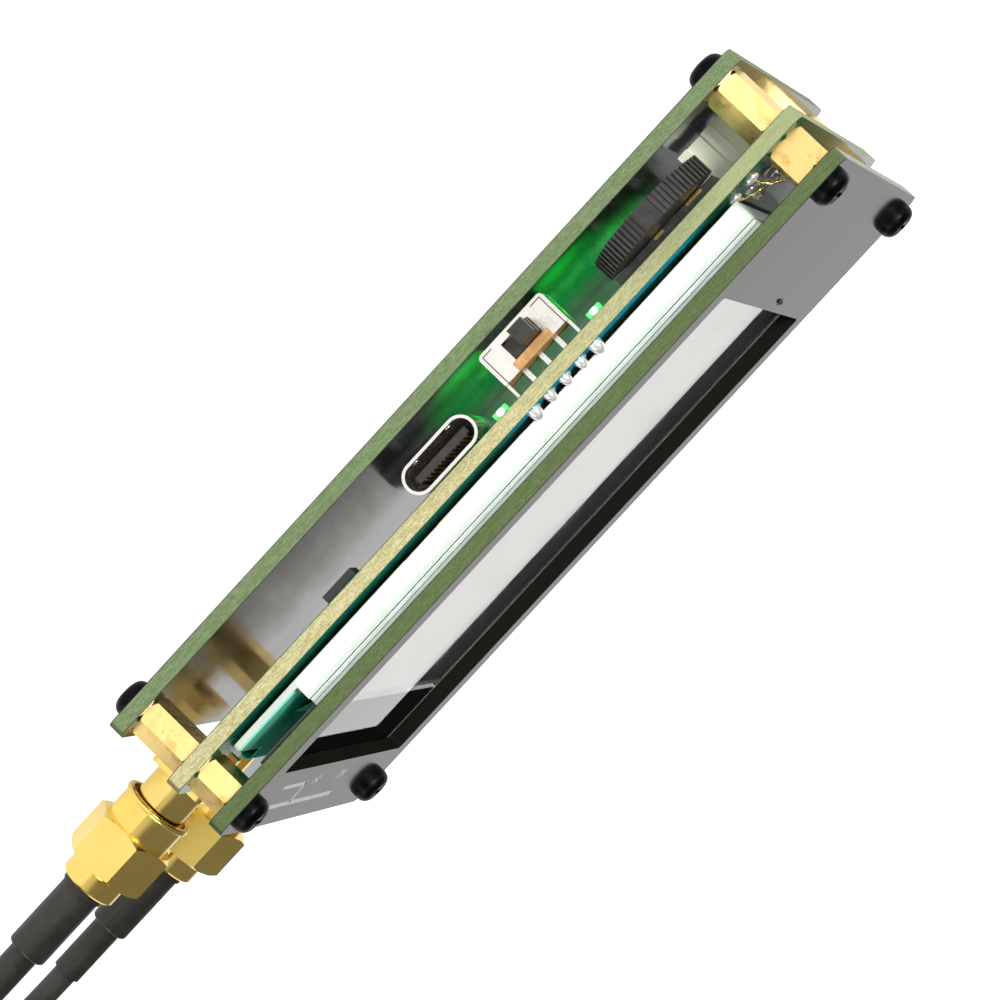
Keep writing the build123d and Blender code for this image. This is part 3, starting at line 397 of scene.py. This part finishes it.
def make_materials():
    made = {}
    olive_edge = ((0.078, 0.112, 0.036), (0.105, 0.15, 0.055), (0.05, 0.08, 0.022))
    green_edge = ((0.115, 0.17, 0.065), (0.19, 0.25, 0.12), (0.065, 0.11, 0.035))
    pale_edge = ((0.40, 0.37, 0.165), (0.60, 0.55, 0.31), (0.20, 0.165, 0.06))
    window = (at(-4.55, 0, 0), 30.6 * MM, 23.9 * MM, (0.012, 0.012, 0.010))
    # Painted reflections: a blue and a teal box along the main board's near edge, where the mask's gloss
    # would show blue light.
    painted_blue_reflection = (at(16, 26.3, 0), 14.5 * MM, 1.1 * MM, (0.0, 0.40, 0.62))
    painted_teal_reflection = (at(-4, 26.3, 0), 34 * MM, 1.1 * MM, (0.0, 0.20, 0.14))
    made["front_board"] = board_material(
        "front board",
        (0.010, 0.010, 0.011),
        *olive_edge,
        back=FRONT_BACK,
        skin=(0.006, 0.006, 0.006),
        wall=window,
        Specular_IOR_Level=0.0,
        Coat_Weight=0.55,
        Coat_Roughness=0.1,
    )
    made["back_board"] = board_material(
        "back board", (0.014, 0.016, 0.014), *green_edge, back=BACK_FACE, skin=(0.006, 0.012, 0.006)
    )
    made["main_board"] = board_material(
        "main board",
        (0.002, 0.075, 0.035),
        *pale_edge,
        back=MAIN_BACK,
        skin=(0.0, 0.10, 0.045),
        tracks=(0.005, 0.20, 0.10),
        painted_reflections=(painted_teal_reflection, painted_blue_reflection),
        greener=(0.22, 0.29, 0.13),
    )
    made["spacer_brass"] = metal(
        "spacer brass",
        (1.0, 0.74, 0.29),
        0.24,
        0.40,
        scale=350,
        pits=(0.20, 0.09, 0.02),
        stretch=(300, 300, 2500),
    )
    made["gold"] = metal("gold plate", (0.96, 0.69, 0.18), 0.10, 0.22, scale=300, tint=(0.98, 0.74, 0.24))
    made["gold_nut"] = metal(
        "gold plated nut",
        (0.96, 0.69, 0.17),
        0.12,
        0.24,
        scale=260,
        tint=(0.98, 0.74, 0.22),
        stretch=(2600, 200, 200),
    )
    made["screw_black"] = metal(
        "black oxide", (0.006, 0.006, 0.006), 0.3, 0.5, scale=700, tint=(0.014, 0.014, 0.015)
    )
    made["tin_plate"] = metal("tin plate", (0.93, 0.90, 0.84), 0.14, 0.36, scale=450, tint=(0.82, 0.79, 0.73))
    made["solder"] = handled(
        "solder", (0.86, 0.86, 0.85), 0.12, 0.28, 0.55, scale=900.0, tint=(0.74, 0.74, 0.72)
    )[0]
    made["pouch"] = metal(
        "foil pouch", (0.34, 0.35, 0.36), 0.22, 0.42, scale=220, tint=(0.27, 0.28, 0.29), depth=0.05 * MM
    )
    made["frame_white"] = handled(
        "pale frame", (0.68, 0.75, 0.65), 0.35, 0.5, tint=(0.74, 0.80, 0.70), Subsurface_Weight=0.1
    )[0]
    made["white_tape"] = handled("white tape", (0.90, 0.88, 0.82), 0.4, 0.55, tint=(0.94, 0.93, 0.88))[0]
    made["foam"] = foam_material()
    made["black_plastic"] = handled(
        "moulded black",
        (0.016, 0.015, 0.014),
        0.3,
        0.5,
        scale=900.0,
        tint=(0.035, 0.033, 0.03),
        depth=0.02 * MM,
    )[0]
    made["phenolic"] = handled(
        "brown phenolic",
        (0.42, 0.20, 0.06),
        0.35,
        0.55,
        scale=900.0,
        tint=(0.62, 0.36, 0.14),
        depth=0.02 * MM,
    )[0]
    made["header_plastic"] = handled(
        "pale nylon", (0.88, 0.92, 0.70), 0.35, 0.5, tint=(0.92, 0.95, 0.76), Subsurface_Weight=0.1
    )[0]
    made["chip_black"] = handled(
        "chip package", (0.02, 0.02, 0.021), 0.4, 0.6, scale=2000.0, depth=0.01 * MM
    )[0]
    made["dielectric"] = handled(
        "white dielectric", (0.88, 0.87, 0.84), 0.35, 0.5, tint=(0.92, 0.91, 0.88)
    )[0]
    made["passive"] = passive_material()
    made["wire"] = wire_material()
    made["flex"] = flex_material()
    made["display_cell"] = display_material()
    made["touch_glass"] = handled(
        "touch glass",
        (0.98, 0.99, 0.98),
        0.0,
        0.05,
        scale=120.0,
        depth=0.0005 * MM,
        Transmission_Weight=1.0,
        IOR=1.5,
    )[0]
    made["lamp_green"] = surface(
        "lit green lamp", (0.10, 0.5, 0.14), 0.2, Emission_Color=(0.02, 1.0, 0.08, 1), Emission_Strength=1.2
    )[0]
    made["lamp_core"] = surface(
        "lamp core", (0.8, 1.0, 0.85), 0.2, Emission_Color=(0.7, 1.0, 0.75, 1), Emission_Strength=8.0
    )[0]
    made["silk"] = handled("printed ink", (0.78, 0.78, 0.75), 0.5, 0.65, scale=1500.0)[0]
    made["ground_edge"] = ground_edge_material()
    made["shrink"] = shrink_material()
    made["cable"] = handled(
        "cable jacket",
        (0.018, 0.018, 0.015),
        0.36,
        0.5,
        scale=350.0,
        tint=(0.032, 0.031, 0.026),
        depth=0.03 * MM,
    )[0]
    return made


def passive_material():
    """Chip resistors and capacitors, some tan and some black."""
    finish, tree, shader, place, out = handled("chip parts", (0.30, 0.20, 0.11), 0.35, 0.55, scale=1500.0)
    cells = noise(tree, stretched(tree, place.outputs["Object"], 210, 330, 1), 1.0, 0.0)
    dark = math_node(tree, "GREATER_THAN", cells, 0.52)
    tree.links.new(mixed(tree, dark, (0.34, 0.23, 0.12), (0.02, 0.02, 0.022)), shader.inputs["Base Color"])
    return finish


def foam_material():
    """Black foam and tape; behind the window's end, where the display goes on, it is painted as pale as the
    cell, partly for the cell's own grey and partly as the cell's painted reflection.
    """
    black = (0.03, 0.03, 0.03)
    finish, tree, shader, place, out = handled("foam tape", black, 0.85, 0.95, scale=2500.0, depth=0.08 * MM)
    parts = tree.nodes.new("ShaderNodeSeparateXYZ")
    tree.links.new(place.outputs["Object"], parts.inputs[0])
    # Painted reflection: above this height the foam takes a pale grey, carrying the cell's painted glare on.
    pale = math_node(tree, "GREATER_THAN", parts.outputs[2], 13.8 * MM)
    tree.links.new(mixed(tree, pale, black, (0.20, 0.20, 0.195)), shader.inputs["Base Color"])
    return finish


def wire_material():
    """Red on the wire nearer the controls and black on the other."""
    red, black = (0.5, 0.02, 0.015), (0.015, 0.015, 0.015)
    finish, tree, shader, place, out = handled("battery wire", red, 0.35, 0.5)
    parts = tree.nodes.new("ShaderNodeSeparateXYZ")
    tree.links.new(place.outputs["Object"], parts.inputs[0])
    inner = math_node(tree, "LESS_THAN", parts.outputs[0], at(35.6, 0, 0).x)
    near = math_node(tree, "GREATER_THAN", parts.outputs[1], at(0, -12.5, 0).y)
    mask = math_node(tree, "MULTIPLY", inner, near)
    tree.links.new(mixed(tree, mask, black, red), shader.inputs["Base Color"])
    return finish


def ground_edge_material():
    """Ground glass edge: pale green-white, with fine streaks along it."""
    finish, tree, shader, place, out = handled("ground glass edge", (0.85, 0.95, 0.87), 0.2, 0.4, scale=700.0)
    streaks = noise(tree, stretched(tree, place.outputs["Object"], 260, 260, 6000), 1.0, 2.0, 0.5)
    light = remap(tree, streaks, 0.4, 0.6, 0.0, 1.0)
    tree.links.new(mixed(tree, light, (0.66, 0.82, 0.68), (0.92, 0.99, 0.93)), shader.inputs["Base Color"])
    return finish


def flex_material():
    """Teal film with fine tracks that run along it. Its teal is painted lighter to make up for the front
    board's shade over it, and a painted lit band runs along its near side.
    """
    shaded, lit = (0.0, 0.62, 0.40), (0.20, 0.80, 0.58)
    finish, tree, shader, place, out = handled(
        "display flex", shaded, 0.45, 0.55, depth=0.003 * MM, Specular_IOR_Level=0.1
    )
    parts = tree.nodes.new("ShaderNodeSeparateXYZ")
    tree.links.new(place.outputs["Object"], parts.inputs[0])
    # Painted light: the band near the film's near side takes the lit colour, the rest the shaded one.
    bright = remap(tree, parts.outputs[1], at(0, 21.2, 0).y, at(0, 21.7, 0).y, 0.0, 1.0)
    tree.links.new(mixed(tree, bright, shaded, lit), shader.inputs["Base Color"])
    lines = tree.nodes.new("ShaderNodeTexWave")
    lines.bands_direction = "Y"
    lines.inputs["Scale"].default_value = 500.0
    tree.links.new(place.outputs["Object"], lines.inputs["Vector"])
    raised(tree, shader, lines.outputs["Fac"], 0.01 * MM, 0.3)
    return finish


def display_material():
    """A switched-off cell, grey, with a black border round its active area. The grey is partly the cell's own
    colour and partly painted reflection, made lighter for the glare that the glass shows at a low angle.
    """
    finish, tree, shader, place, out = handled("display cell", (0.30, 0.30, 0.295), 0.04, 0.08, scale=60.0)
    active = inside_box(tree, place, at(-2.0, 0, 0), 29.0 * MM, 22.2 * MM)
    # Painted reflection: the active area's grey is lighter than the cell's own, for its glare at a low angle.
    border, grey = (0.004, 0.004, 0.004), (0.34, 0.34, 0.335)
    tree.links.new(mixed(tree, active, border, grey), shader.inputs["Base Color"])
    return finish


def shrink_material():
    """Heat-shrink sleeve: satin, with long soft wrinkles."""
    finish, tree, shader, place, out = handled(
        "shrink sleeve", (0.013, 0.012, 0.008), 0.34, 0.5, scale=300.0, tint=(0.022, 0.021, 0.014)
    )
    folds = noise(tree, stretched(tree, place.outputs["Object"], 90, 500, 500), 1.0, 3.0, 0.5)
    raised(tree, shader, folds, 0.25 * MM, 0.5)
    return finish


FINISH = make_materials()


def finish_nodes():
    """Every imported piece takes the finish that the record's slot names for it."""
    for part in frame["record"]["subparts"]:
        piece = nodes[part["node"]]
        for slot in piece.material_slots:
            slot.material = FINISH[part["material_slot"]]


# ---------------------------------------------------------------- new pieces
MERGE_DISTANCE = 0.0005 * MM


def piece_from(name, mesh_maker, slot, body=ANALYZER, smooth=False, finish=None):
    """Builds a piece with a bmesh, gives it its finish and lets it ride on a body."""
    shape = bmesh.new()
    mesh_maker(shape)
    bmesh.ops.remove_doubles(shape, verts=shape.verts, dist=MERGE_DISTANCE)
    bmesh.ops.recalc_face_normals(shape, faces=shape.faces)
    mesh = bpy.data.meshes.new(name)
    shape.to_mesh(mesh)
    shape.free()
    if smooth:
        mesh.shade_smooth()
    piece = bpy.data.objects.new(name, mesh)
    bpy.context.scene.collection.objects.link(piece)
    piece.data.materials.append(FINISH[finish or slot])
    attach(piece, body)


def add_block(shape, low, high):
    """A box between two corners; returns its vertices."""
    a, b = at(*low), at(*high)
    size = b - a
    place = Matrix.Translation((a + b) / 2) @ Matrix.Diagonal((*size, 1))
    return bmesh.ops.create_cube(shape, size=1.0, matrix=place)["verts"]


def add_bar(shape, start, end, width, height):
    """A flat bar that ends half its width past two points; height is its size along Z."""
    a, b = at(*start), at(*end)
    along = b - a
    turn = along.to_track_quat("X", "Z").to_matrix().to_4x4()
    size = Matrix.Diagonal((along.length + width * MM, width * MM, height * MM, 1))
    bmesh.ops.create_cube(shape, size=1.0, matrix=Matrix.Translation((a + b) / 2) @ turn @ size)


def add_rod(shape, start, end, radius, end_radius=None, segments=16):
    """A round rod or cone between two points."""
    a, b = at(*start), at(*end)
    turn = (b - a).to_track_quat("Z", "Y").to_matrix().to_4x4()
    bmesh.ops.create_cone(
        shape,
        cap_ends=True,
        segments=segments,
        radius1=radius * MM,
        radius2=(radius if end_radius is None else end_radius) * MM,
        depth=(b - a).length,
        matrix=Matrix.Translation((a + b) / 2) @ turn,
    )


def add_bead(shape, centre, x, y, z):
    """A rounded bead with its three half sizes in millimetres."""
    place = Matrix.Translation(at(*centre)) @ Matrix.Diagonal((x * MM, y * MM, z * MM, 1))
    bmesh.ops.create_uvsphere(shape, u_segments=20, v_segments=12, radius=1.0, matrix=place)


INK = 0.03
INK_SUNK = 0.01


def printed_marks(shape):
    """The long rule beside the jacks, a bent leader from it, and a plain digit for each jack."""
    level = FRONT_FACE + INK / 2 - INK_SUNK
    for a, b, width in (
        ((-39.9, 18.3), (-39.9, -7.7), 0.6),
        ((-37.2, 17.1), (-37.2, 9.1), 0.5),
        ((-37.2, 9.1), (-39.65, 8.44), 0.5),
    ):
        add_bar(shape, (*a, level), (*b, level), width, INK)
    for x, y, strokes in (
        (-37.0, 6.3, (((0, 0), (0, -1.7)), ((-0.45, -0.35), (0, 0)), ((-0.4, -1.7), (0.4, -1.7)))),
        (
            -37.0,
            -3.9,
            (
                ((-0.5, -0.1), (0.4, -0.1)),
                ((0.5, -0.2), (0.5, -0.75)),
                ((0.4, -0.85), (-0.5, -1.6)),
                ((-0.5, -1.7), (0.5, -1.7)),
            ),
        ),
    ):
        for a, b in strokes:
            add_bar(shape, (x + a[0], y + a[1], level), (x + b[0], y + b[1], level), 0.26, INK)


# The display's sides are bare from the end of the flex's ledge to the far end of the touch glass.
LEDGE_END = -27.7
GLASS_END = span("touch_glass", X)[1]
GLASS_BACK, GLASS_FACE = span("touch_glass", Z)
DISPLAY_SIDE = span("touch_glass", Y)[1]
FRAME_FACE = span("display_frame", Z)[1]
CELL_FACE = span("display_cell", Z)[1]


def glass_edges(shape):
    """The ground edges of the touch glass, a hair outside it on the two long sides and the far end."""
    low, high = GLASS_BACK + 0.03, GLASS_FACE - 0.02
    skin = 0.03
    for side in (-1, 1):
        near, far = sorted((side * DISPLAY_SIDE, side * (DISPLAY_SIDE + skin)))
        add_block(shape, (LEDGE_END, near, low), (GLASS_END, far, high))
    add_block(shape, (GLASS_END, -DISPLAY_SIDE, low), (GLASS_END + skin, DISPLAY_SIDE, high))


def bond_line(shape):
    """The clear bond between the backlight frame and the touch glass, seen only from the side."""
    low, high = FRAME_FACE + 0.1, CELL_FACE
    inner, outer = DISPLAY_SIDE - 0.7, DISPLAY_SIDE - 0.04
    for side in (-1, 1):
        near, far = sorted((side * inner, side * outer))
        add_block(shape, (LEDGE_END, near, low), (GLASS_END - 0.1, far, high))
    add_block(shape, (GLASS_END - 0.9, -inner, low), (GLASS_END - 0.04, inner, high))


def frame_tape(shape):
    """Two strips of white tape on the controls' side of the backlight frame, a short one on a long one."""
    thick = 0.04
    long_strip = ((LEDGE_END, 11.2), (32.6, 12.85), DISPLAY_SIDE)
    short_strip = ((1.4, 11.2), (17.5, 12.5), DISPLAY_SIDE + thick)
    for low, high, y in (long_strip, short_strip):
        corners = add_block(shape, (low[0], y - 0.01, low[1]), (high[0], y + thick, high[1]))
        edges = {edge for corner in corners for edge in corner.link_edges}
        upright = [e for e in edges if abs(e.verts[0].co.y - e.verts[1].co.y) > 0.02 * MM]
        bmesh.ops.bevel(
            shape,
            geom=upright,
            offset=0.5 * MM,
            offset_type="OFFSET",
            affect="EDGES",
            segments=5,
            profile=0.5,
            material=-1,
        )


LEG_X = -40.6
HEADER_PINS = ((34.35, 19.35), (36.85, 19.35))


def extra_solder(shape):
    """Fillets along the jacks' legs, and the beads over the battery header's pins."""
    for side in (-1, 1):
        for leg in (-1, 1):
            y = side * JACK_Y + leg * 2.75
            add_bead(shape, (LEG_X, y + leg * 0.35, MAIN_FRONT), 1.7, 0.7, 0.42)
            add_bead(shape, (LEG_X, y + leg * 0.35, MAIN_BACK), 1.7, 0.7, 0.35)
    for x, y in HEADER_PINS:
        add_bead(shape, (x, y, MAIN_FRONT), 1.0, 1.0, 0.55)
        add_rod(shape, (x, y, MAIN_FRONT + 0.2), (x, y, MAIN_FRONT + 0.95), 0.62, 0.3)
        add_bead(shape, (x, y, MAIN_FRONT + 0.95), 0.32, 0.32, 0.2)
    for x, y in ((38.4, 21.8), (32.9, 22.6), (35.4, 23.6)):
        add_bead(shape, (x, y, MAIN_FRONT), 0.75, 0.65, 0.45)


def wire_ends(shape):
    """Short cut ends of thin wire that stand up from the solder beside the display."""
    for route in (
        ((35.4, 23.6, 10.9), (36.2, 23.9, 12.2), (37.3, 23.4, 12.9)),
        ((32.9, 22.6, 10.9), (34.4, 23.2, 11.6), (35.9, 22.6, 11.9)),
        ((38.4, 21.8, 10.9), (37.6, 22.6, 12.0), (36.6, 22.9, 12.3)),
    ):
        for a, b in zip(route, route[1:]):
            add_rod(shape, a, b, 0.11, segments=8)
            add_bead(shape, b, 0.12, 0.12, 0.12)


PIN_HOLE = (27.0, -5.1)


def hole_plug(shape):
    """What fills the small hole in the front board: a dark floor just below the face, and the pin in it."""
    x, y = PIN_HOLE
    add_rod(shape, (x, y, FRONT_FACE - 0.3), (x, y, FRONT_FACE - 0.04), 0.49, segments=32)
    add_rod(shape, (x, y, FRONT_FACE - 0.3), (x, y, FRONT_FACE + 0.2), 0.27, segments=24)
    add_bead(shape, (x, y, FRONT_FACE + 0.2), 0.27, 0.27, 0.12)


SWITCH_X = middle("switch_cover", X)
JOINT_PITCH = 2.08
JOINTS = [SWITCH_X + step * JOINT_PITCH for step in range(-2, 3)]


def joint_beads(shape):
    """The full beads of solder round the slide switch's pins, which bulge past the backlight frame."""
    for x in JOINTS:
        large = 1.0 if x in (JOINTS[0], JOINTS[-1]) else 0.82
        add_bead(shape, (x, 25.86, MAIN_FRONT), 0.74 * large, 0.78 * large, 1.2 * large)


def joint_tips(shape):
    """The cut pin ends in the middle of the beads."""
    for x in JOINTS:
        add_rod(shape, (x, 26.2, MAIN_FRONT + 0.55), (x, 26.66, MAIN_FRONT + 0.62), 0.26, 0.2, segments=16)


LAMP_HALF = 0.8
LAMPS = (span("status_lamps", X)[0] + LAMP_HALF, span("status_lamps", X)[1] - LAMP_HALF)


def lamp_cores(shape):
    """The bright lens in the middle of each status lamp."""
    for x in LAMPS:
        add_bead(shape, (x, 26.5, 8.6), 0.42, 0.16, 0.3)


def slider_skirt(shape):
    """The slide switch's dust plate, which moves behind the window with the knob."""
    add_block(shape, (8.45, 26.42, 4.6), (14.0, 26.56, 6.3))


def cover_seams(shape):
    """The open seams of the slide switch's folded cover, dark beside its two bright flaps."""
    for x in (6.72, 14.38):
        add_block(shape, (x - 0.05, 26.85, 4.0), (x + 0.05, 26.92, 7.6))
    for low, high in ((6.72, 7.9), (13.2, 14.38)):
        add_block(shape, (low, 26.85, 4.0), (high, 26.92, 4.1))


def shell_dimples(shape):
    """The spring dimples pressed into the USB-C shell."""
    for side in (-1, 1):
        x = middle("usb_shell", X) + side * 2.2
        for face in (-1, 1):
            add_bead(shape, (x, 26.4, middle("usb_shell", Z) + face * 1.32), 0.4, 0.45, 0.14)


piece_from("printed_marks", printed_marks, "front_board", finish="silk")
piece_from("glass_edges", glass_edges, "touch_glass", finish="ground_edge")
piece_from("bond_line", bond_line, "touch_glass", finish="ground_edge")
piece_from("frame_tape", frame_tape, "frame_white", finish="white_tape")
piece_from("extra_solder", extra_solder, "solder", smooth=True)
piece_from("wire_ends", wire_ends, "gold", smooth=True)
piece_from("hole_plug", hole_plug, "black_plastic", smooth=True)
piece_from("cover_seams", cover_seams, "black_plastic")
piece_from("joint_beads", joint_beads, "solder", smooth=True)
piece_from("joint_tips", joint_tips, "tin_plate")
piece_from("lamp_cores", lamp_cores, "lamp_green", smooth=True, finish="lamp_core")
piece_from("slider_skirt", slider_skirt, "black_plastic", body="power_slider")
piece_from("shell_dimples", shell_dimples, "tin_plate", smooth=True)


# ---------------------------------------------------------------- test leads
COIL_RADIUS = 10.5
COIL_STEP = 2.3
COIL_TURNS = 2
POINTS_PER_TURN = 16
SLEEVE_END = span("near_sleeves", X)[0]
NEAR_ROUTE = [(-4.55, 0.0, 0.0), (-13.25, 0.2, -1.3), (-21.45, 0.0, -2.1)]
FAR_ROUTE = [(-4.45, 0.0, 0.0), (-12.65, 0.15, -0.3), (-21.05, -0.2, -0.6), (-28.65, 0.0, -1.6)]
TAIL = [(-5.5, 0), (-12.5, 1), (-18.0, 1)]
END_AXIS = 4.0


def lead_points(side, route):
    """The cable's route: from the sleeve, down, round its coil of two turns, and up to its far plug."""
    start = Vector((SLEEVE_END, side * JACK_Y, JACK_Z))
    points = [start] + [start + Vector(step) for step in route]
    heading = (points[-1] - points[-2]).normalized()
    lead_in = points[-1] + heading * CABLE
    centre = Vector((lead_in.x, lead_in.y + side * COIL_RADIUS, 0))
    low = CABLE / 2
    for k in range(COIL_TURNS * POINTS_PER_TURN + 1):
        share = k / POINTS_PER_TURN
        angle = -side * (pi / 2 + 2 * pi * share)
        radius = COIL_RADIUS + COIL_STEP * share
        height = lead_in.z - (lead_in.z - low) * share / COIL_TURNS
        points.append(Vector((centre.x + radius * cos(angle), centre.y + radius * sin(angle), height)))
    end = points[-1] - Vector((CABLE, 0, 0))
    for x, share in TAIL:
        points.append(end + Vector((x, 0, share * (END_AXIS - low))))
    return points


def lead(name, side, route):
    """A test lead's cable in one smooth run, in the place of the three solids that stand for it.

    side is 1 for the near jack and -1 for the far one.
    """
    points = [at(*p) for p in lead_points(side, route)]
    curve = bpy.data.curves.new(f"{name}_lead", "CURVE")
    curve.dimensions = "3D"
    curve.bevel_depth = CABLE / 2 * MM
    curve.bevel_resolution = 5
    curve.resolution_u = 6
    curve.use_fill_caps = True
    spline = curve.splines.new("NURBS")
    spline.points.add(len(points) - 1)
    for spot, point in zip(spline.points, points):
        spot.co = (*point, 1)
    spline.order_u = 3
    spline.use_endpoint_u = True
    cable = bpy.data.objects.new(f"{name}_lead", curve)
    bpy.context.scene.collection.objects.link(cable)
    curve.materials.append(FINISH["cable"])
    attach(cable, ANALYZER)
    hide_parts(f"{name}_lead_cable", f"{name}_lead_coil", f"{name}_lead_tail")


# ---------------------------------------------------------------- studio
CAMERA_PLACE = at(57.01, 436.32, 77.83)
CAMERA_RIGHT = Vector((0.67169, -0.20683, 0.71138))
CAMERA_DOWN = Vector((-0.72746, -0.00250, 0.68615))
CAMERA_FORWARD = Vector((-0.14014, -0.97837, -0.15214))
CAMERA_LENS = 164.28
KEY_PLACE = (0.60, 0.85, 0.40)
KEY_SIZE = (0.34, 0.34)
KEY_WATTS = 10.0
SIDE_PLACE = (-0.75, 0.45, 0.22)
SIDE_SIZE = (0.16, 0.4)
SIDE_WATTS = 2.0
LAMP_GREEN = (0.01, 1.0, 0.08)
BOARD_GREEN = (0.0, 1.0, 0.16)
FLOOR_GLOW = 0.55
BACKDROP = (1.1, 1.1, 1.1)
BEHIND = (1.08, 1.07, 1.05)
IN_FRONT = (0.66, 0.65, 0.63)
OVERHEAD = (0.20, 0.20, 0.20)


def camera():
    """The camera fitted to the photo."""
    data = bpy.data.cameras.new("camera")
    data.sensor_width = 36.0
    data.lens = CAMERA_LENS
    data.clip_start = 0.01
    data.clip_end = 50.0
    view = bpy.data.objects.new("camera", data)
    bpy.context.scene.collection.objects.link(view)
    turned = Matrix((CAMERA_RIGHT, -CAMERA_DOWN, -CAMERA_FORWARD)).transposed().to_4x4()
    view.matrix_world = Matrix.Translation(CAMERA_PLACE) @ turned
    bpy.context.scene.camera = view


def soft_light(name, place, aim, size, watts, color=(1, 1, 1)):
    """A rectangular light at a place that faces a point."""
    data = bpy.data.lights.new(name, "AREA")
    data.shape = "RECTANGLE"
    data.size, data.size_y = size
    data.energy = watts
    data.color = color
    lamp = bpy.data.objects.new(name, data)
    bpy.context.scene.collection.objects.link(lamp)
    lamp.location = place
    lamp.rotation_mode = "QUATERNION"
    lamp.rotation_quaternion = (Vector(aim) - Vector(place)).to_track_quat("-Z", "Y")
    return lamp


def seen_directly(tree):
    """1 for what the camera sees itself, 0 for what lights the object or shows in its gloss."""
    return tree.nodes.new("ShaderNodeLightPath").outputs["Is Camera Ray"]


def studio_floor():
    """A pale floor that glows as lit paper does, so that it is white up to the object."""
    mesh = bpy.data.meshes.new("studio_floor")
    shape = bmesh.new()
    bmesh.ops.create_grid(shape, x_segments=1, y_segments=1, size=12.0)
    shape.to_mesh(mesh)
    shape.free()
    floor = bpy.data.objects.new("studio_floor", mesh)
    bpy.context.scene.collection.objects.link(floor)
    paper, tree, shader, place = surface("lit paper", (0.8, 0.8, 0.8), 0.9, Emission_Color=(1, 1, 1, 1))
    glow = remap(tree, seen_directly(tree), 0.0, 1.0, FLOOR_GLOW, 1.0)
    tree.links.new(glow, shader.inputs["Emission Strength"])
    floor.data.materials.append(paper)


def studio_world():
    """A white backdrop, and round the object white behind, grey in front and darker overhead."""
    world = bpy.data.worlds.new("studio")
    world.use_nodes = True
    tree = world.node_tree
    place = tree.nodes.new("ShaderNodeTexCoord")
    parts = tree.nodes.new("ShaderNodeSeparateXYZ")
    tree.links.new(place.outputs["Generated"], parts.inputs[0])
    high = remap(tree, parts.outputs[2], 0.28, 0.5, 0.0, 1.0)
    front = remap(tree, parts.outputs[1], -0.3, 0.2, 0.0, 1.0)
    level = mixed(tree, front, BEHIND, IN_FRONT)
    around = mixed(tree, high, level, OVERHEAD)
    background = tree.nodes["Background"]
    tree.links.new(mixed(tree, seen_directly(tree), around, BACKDROP), background.inputs["Color"])
    bpy.context.scene.world = world
    bpy.context.scene.view_settings.view_transform = "Standard"


def green_light(name, place, heading, width, depth, watts, color, spread):
    """A one-sided green light between the boards; its width and depth are in millimetres."""
    glow = soft_light(name, place, place + Vector(heading), (width * MM, depth * MM), watts, color)
    glow.data.spread = radians(spread)


def studio():
    studio_floor()
    studio_world()
    soft_light("key", KEY_PLACE, (0, 0, 0.01), KEY_SIZE, KEY_WATTS)
    soft_light("side", SIDE_PLACE, (-0.03, 0, 0.01), SIDE_SIZE, SIDE_WATTS)
    # Each lamp shines down and inwards. The main board, lit from its edge, sheds green on the board below.
    for x in LAMPS:
        green_light("status_glow", at(x, 26.0, 8.22), (0, -0.8, -1), 1.3, 0.5, 0.007, LAMP_GREEN, spread=110)
    glows = (("board_glow", 10, 7.9, 18, 0.014), ("battery_glow", -6, 4.1, 11, 0.007))
    for name, y, z, depth, watts in glows:
        green_light(name, at(10.5, y, z), (0, 0, -1), 26, depth, watts, BOARD_GREEN, spread=70)


finish_nodes()
lead("near", 1, NEAR_ROUTE)
lead("far", -1, FAR_ROUTE)
camera()
studio()
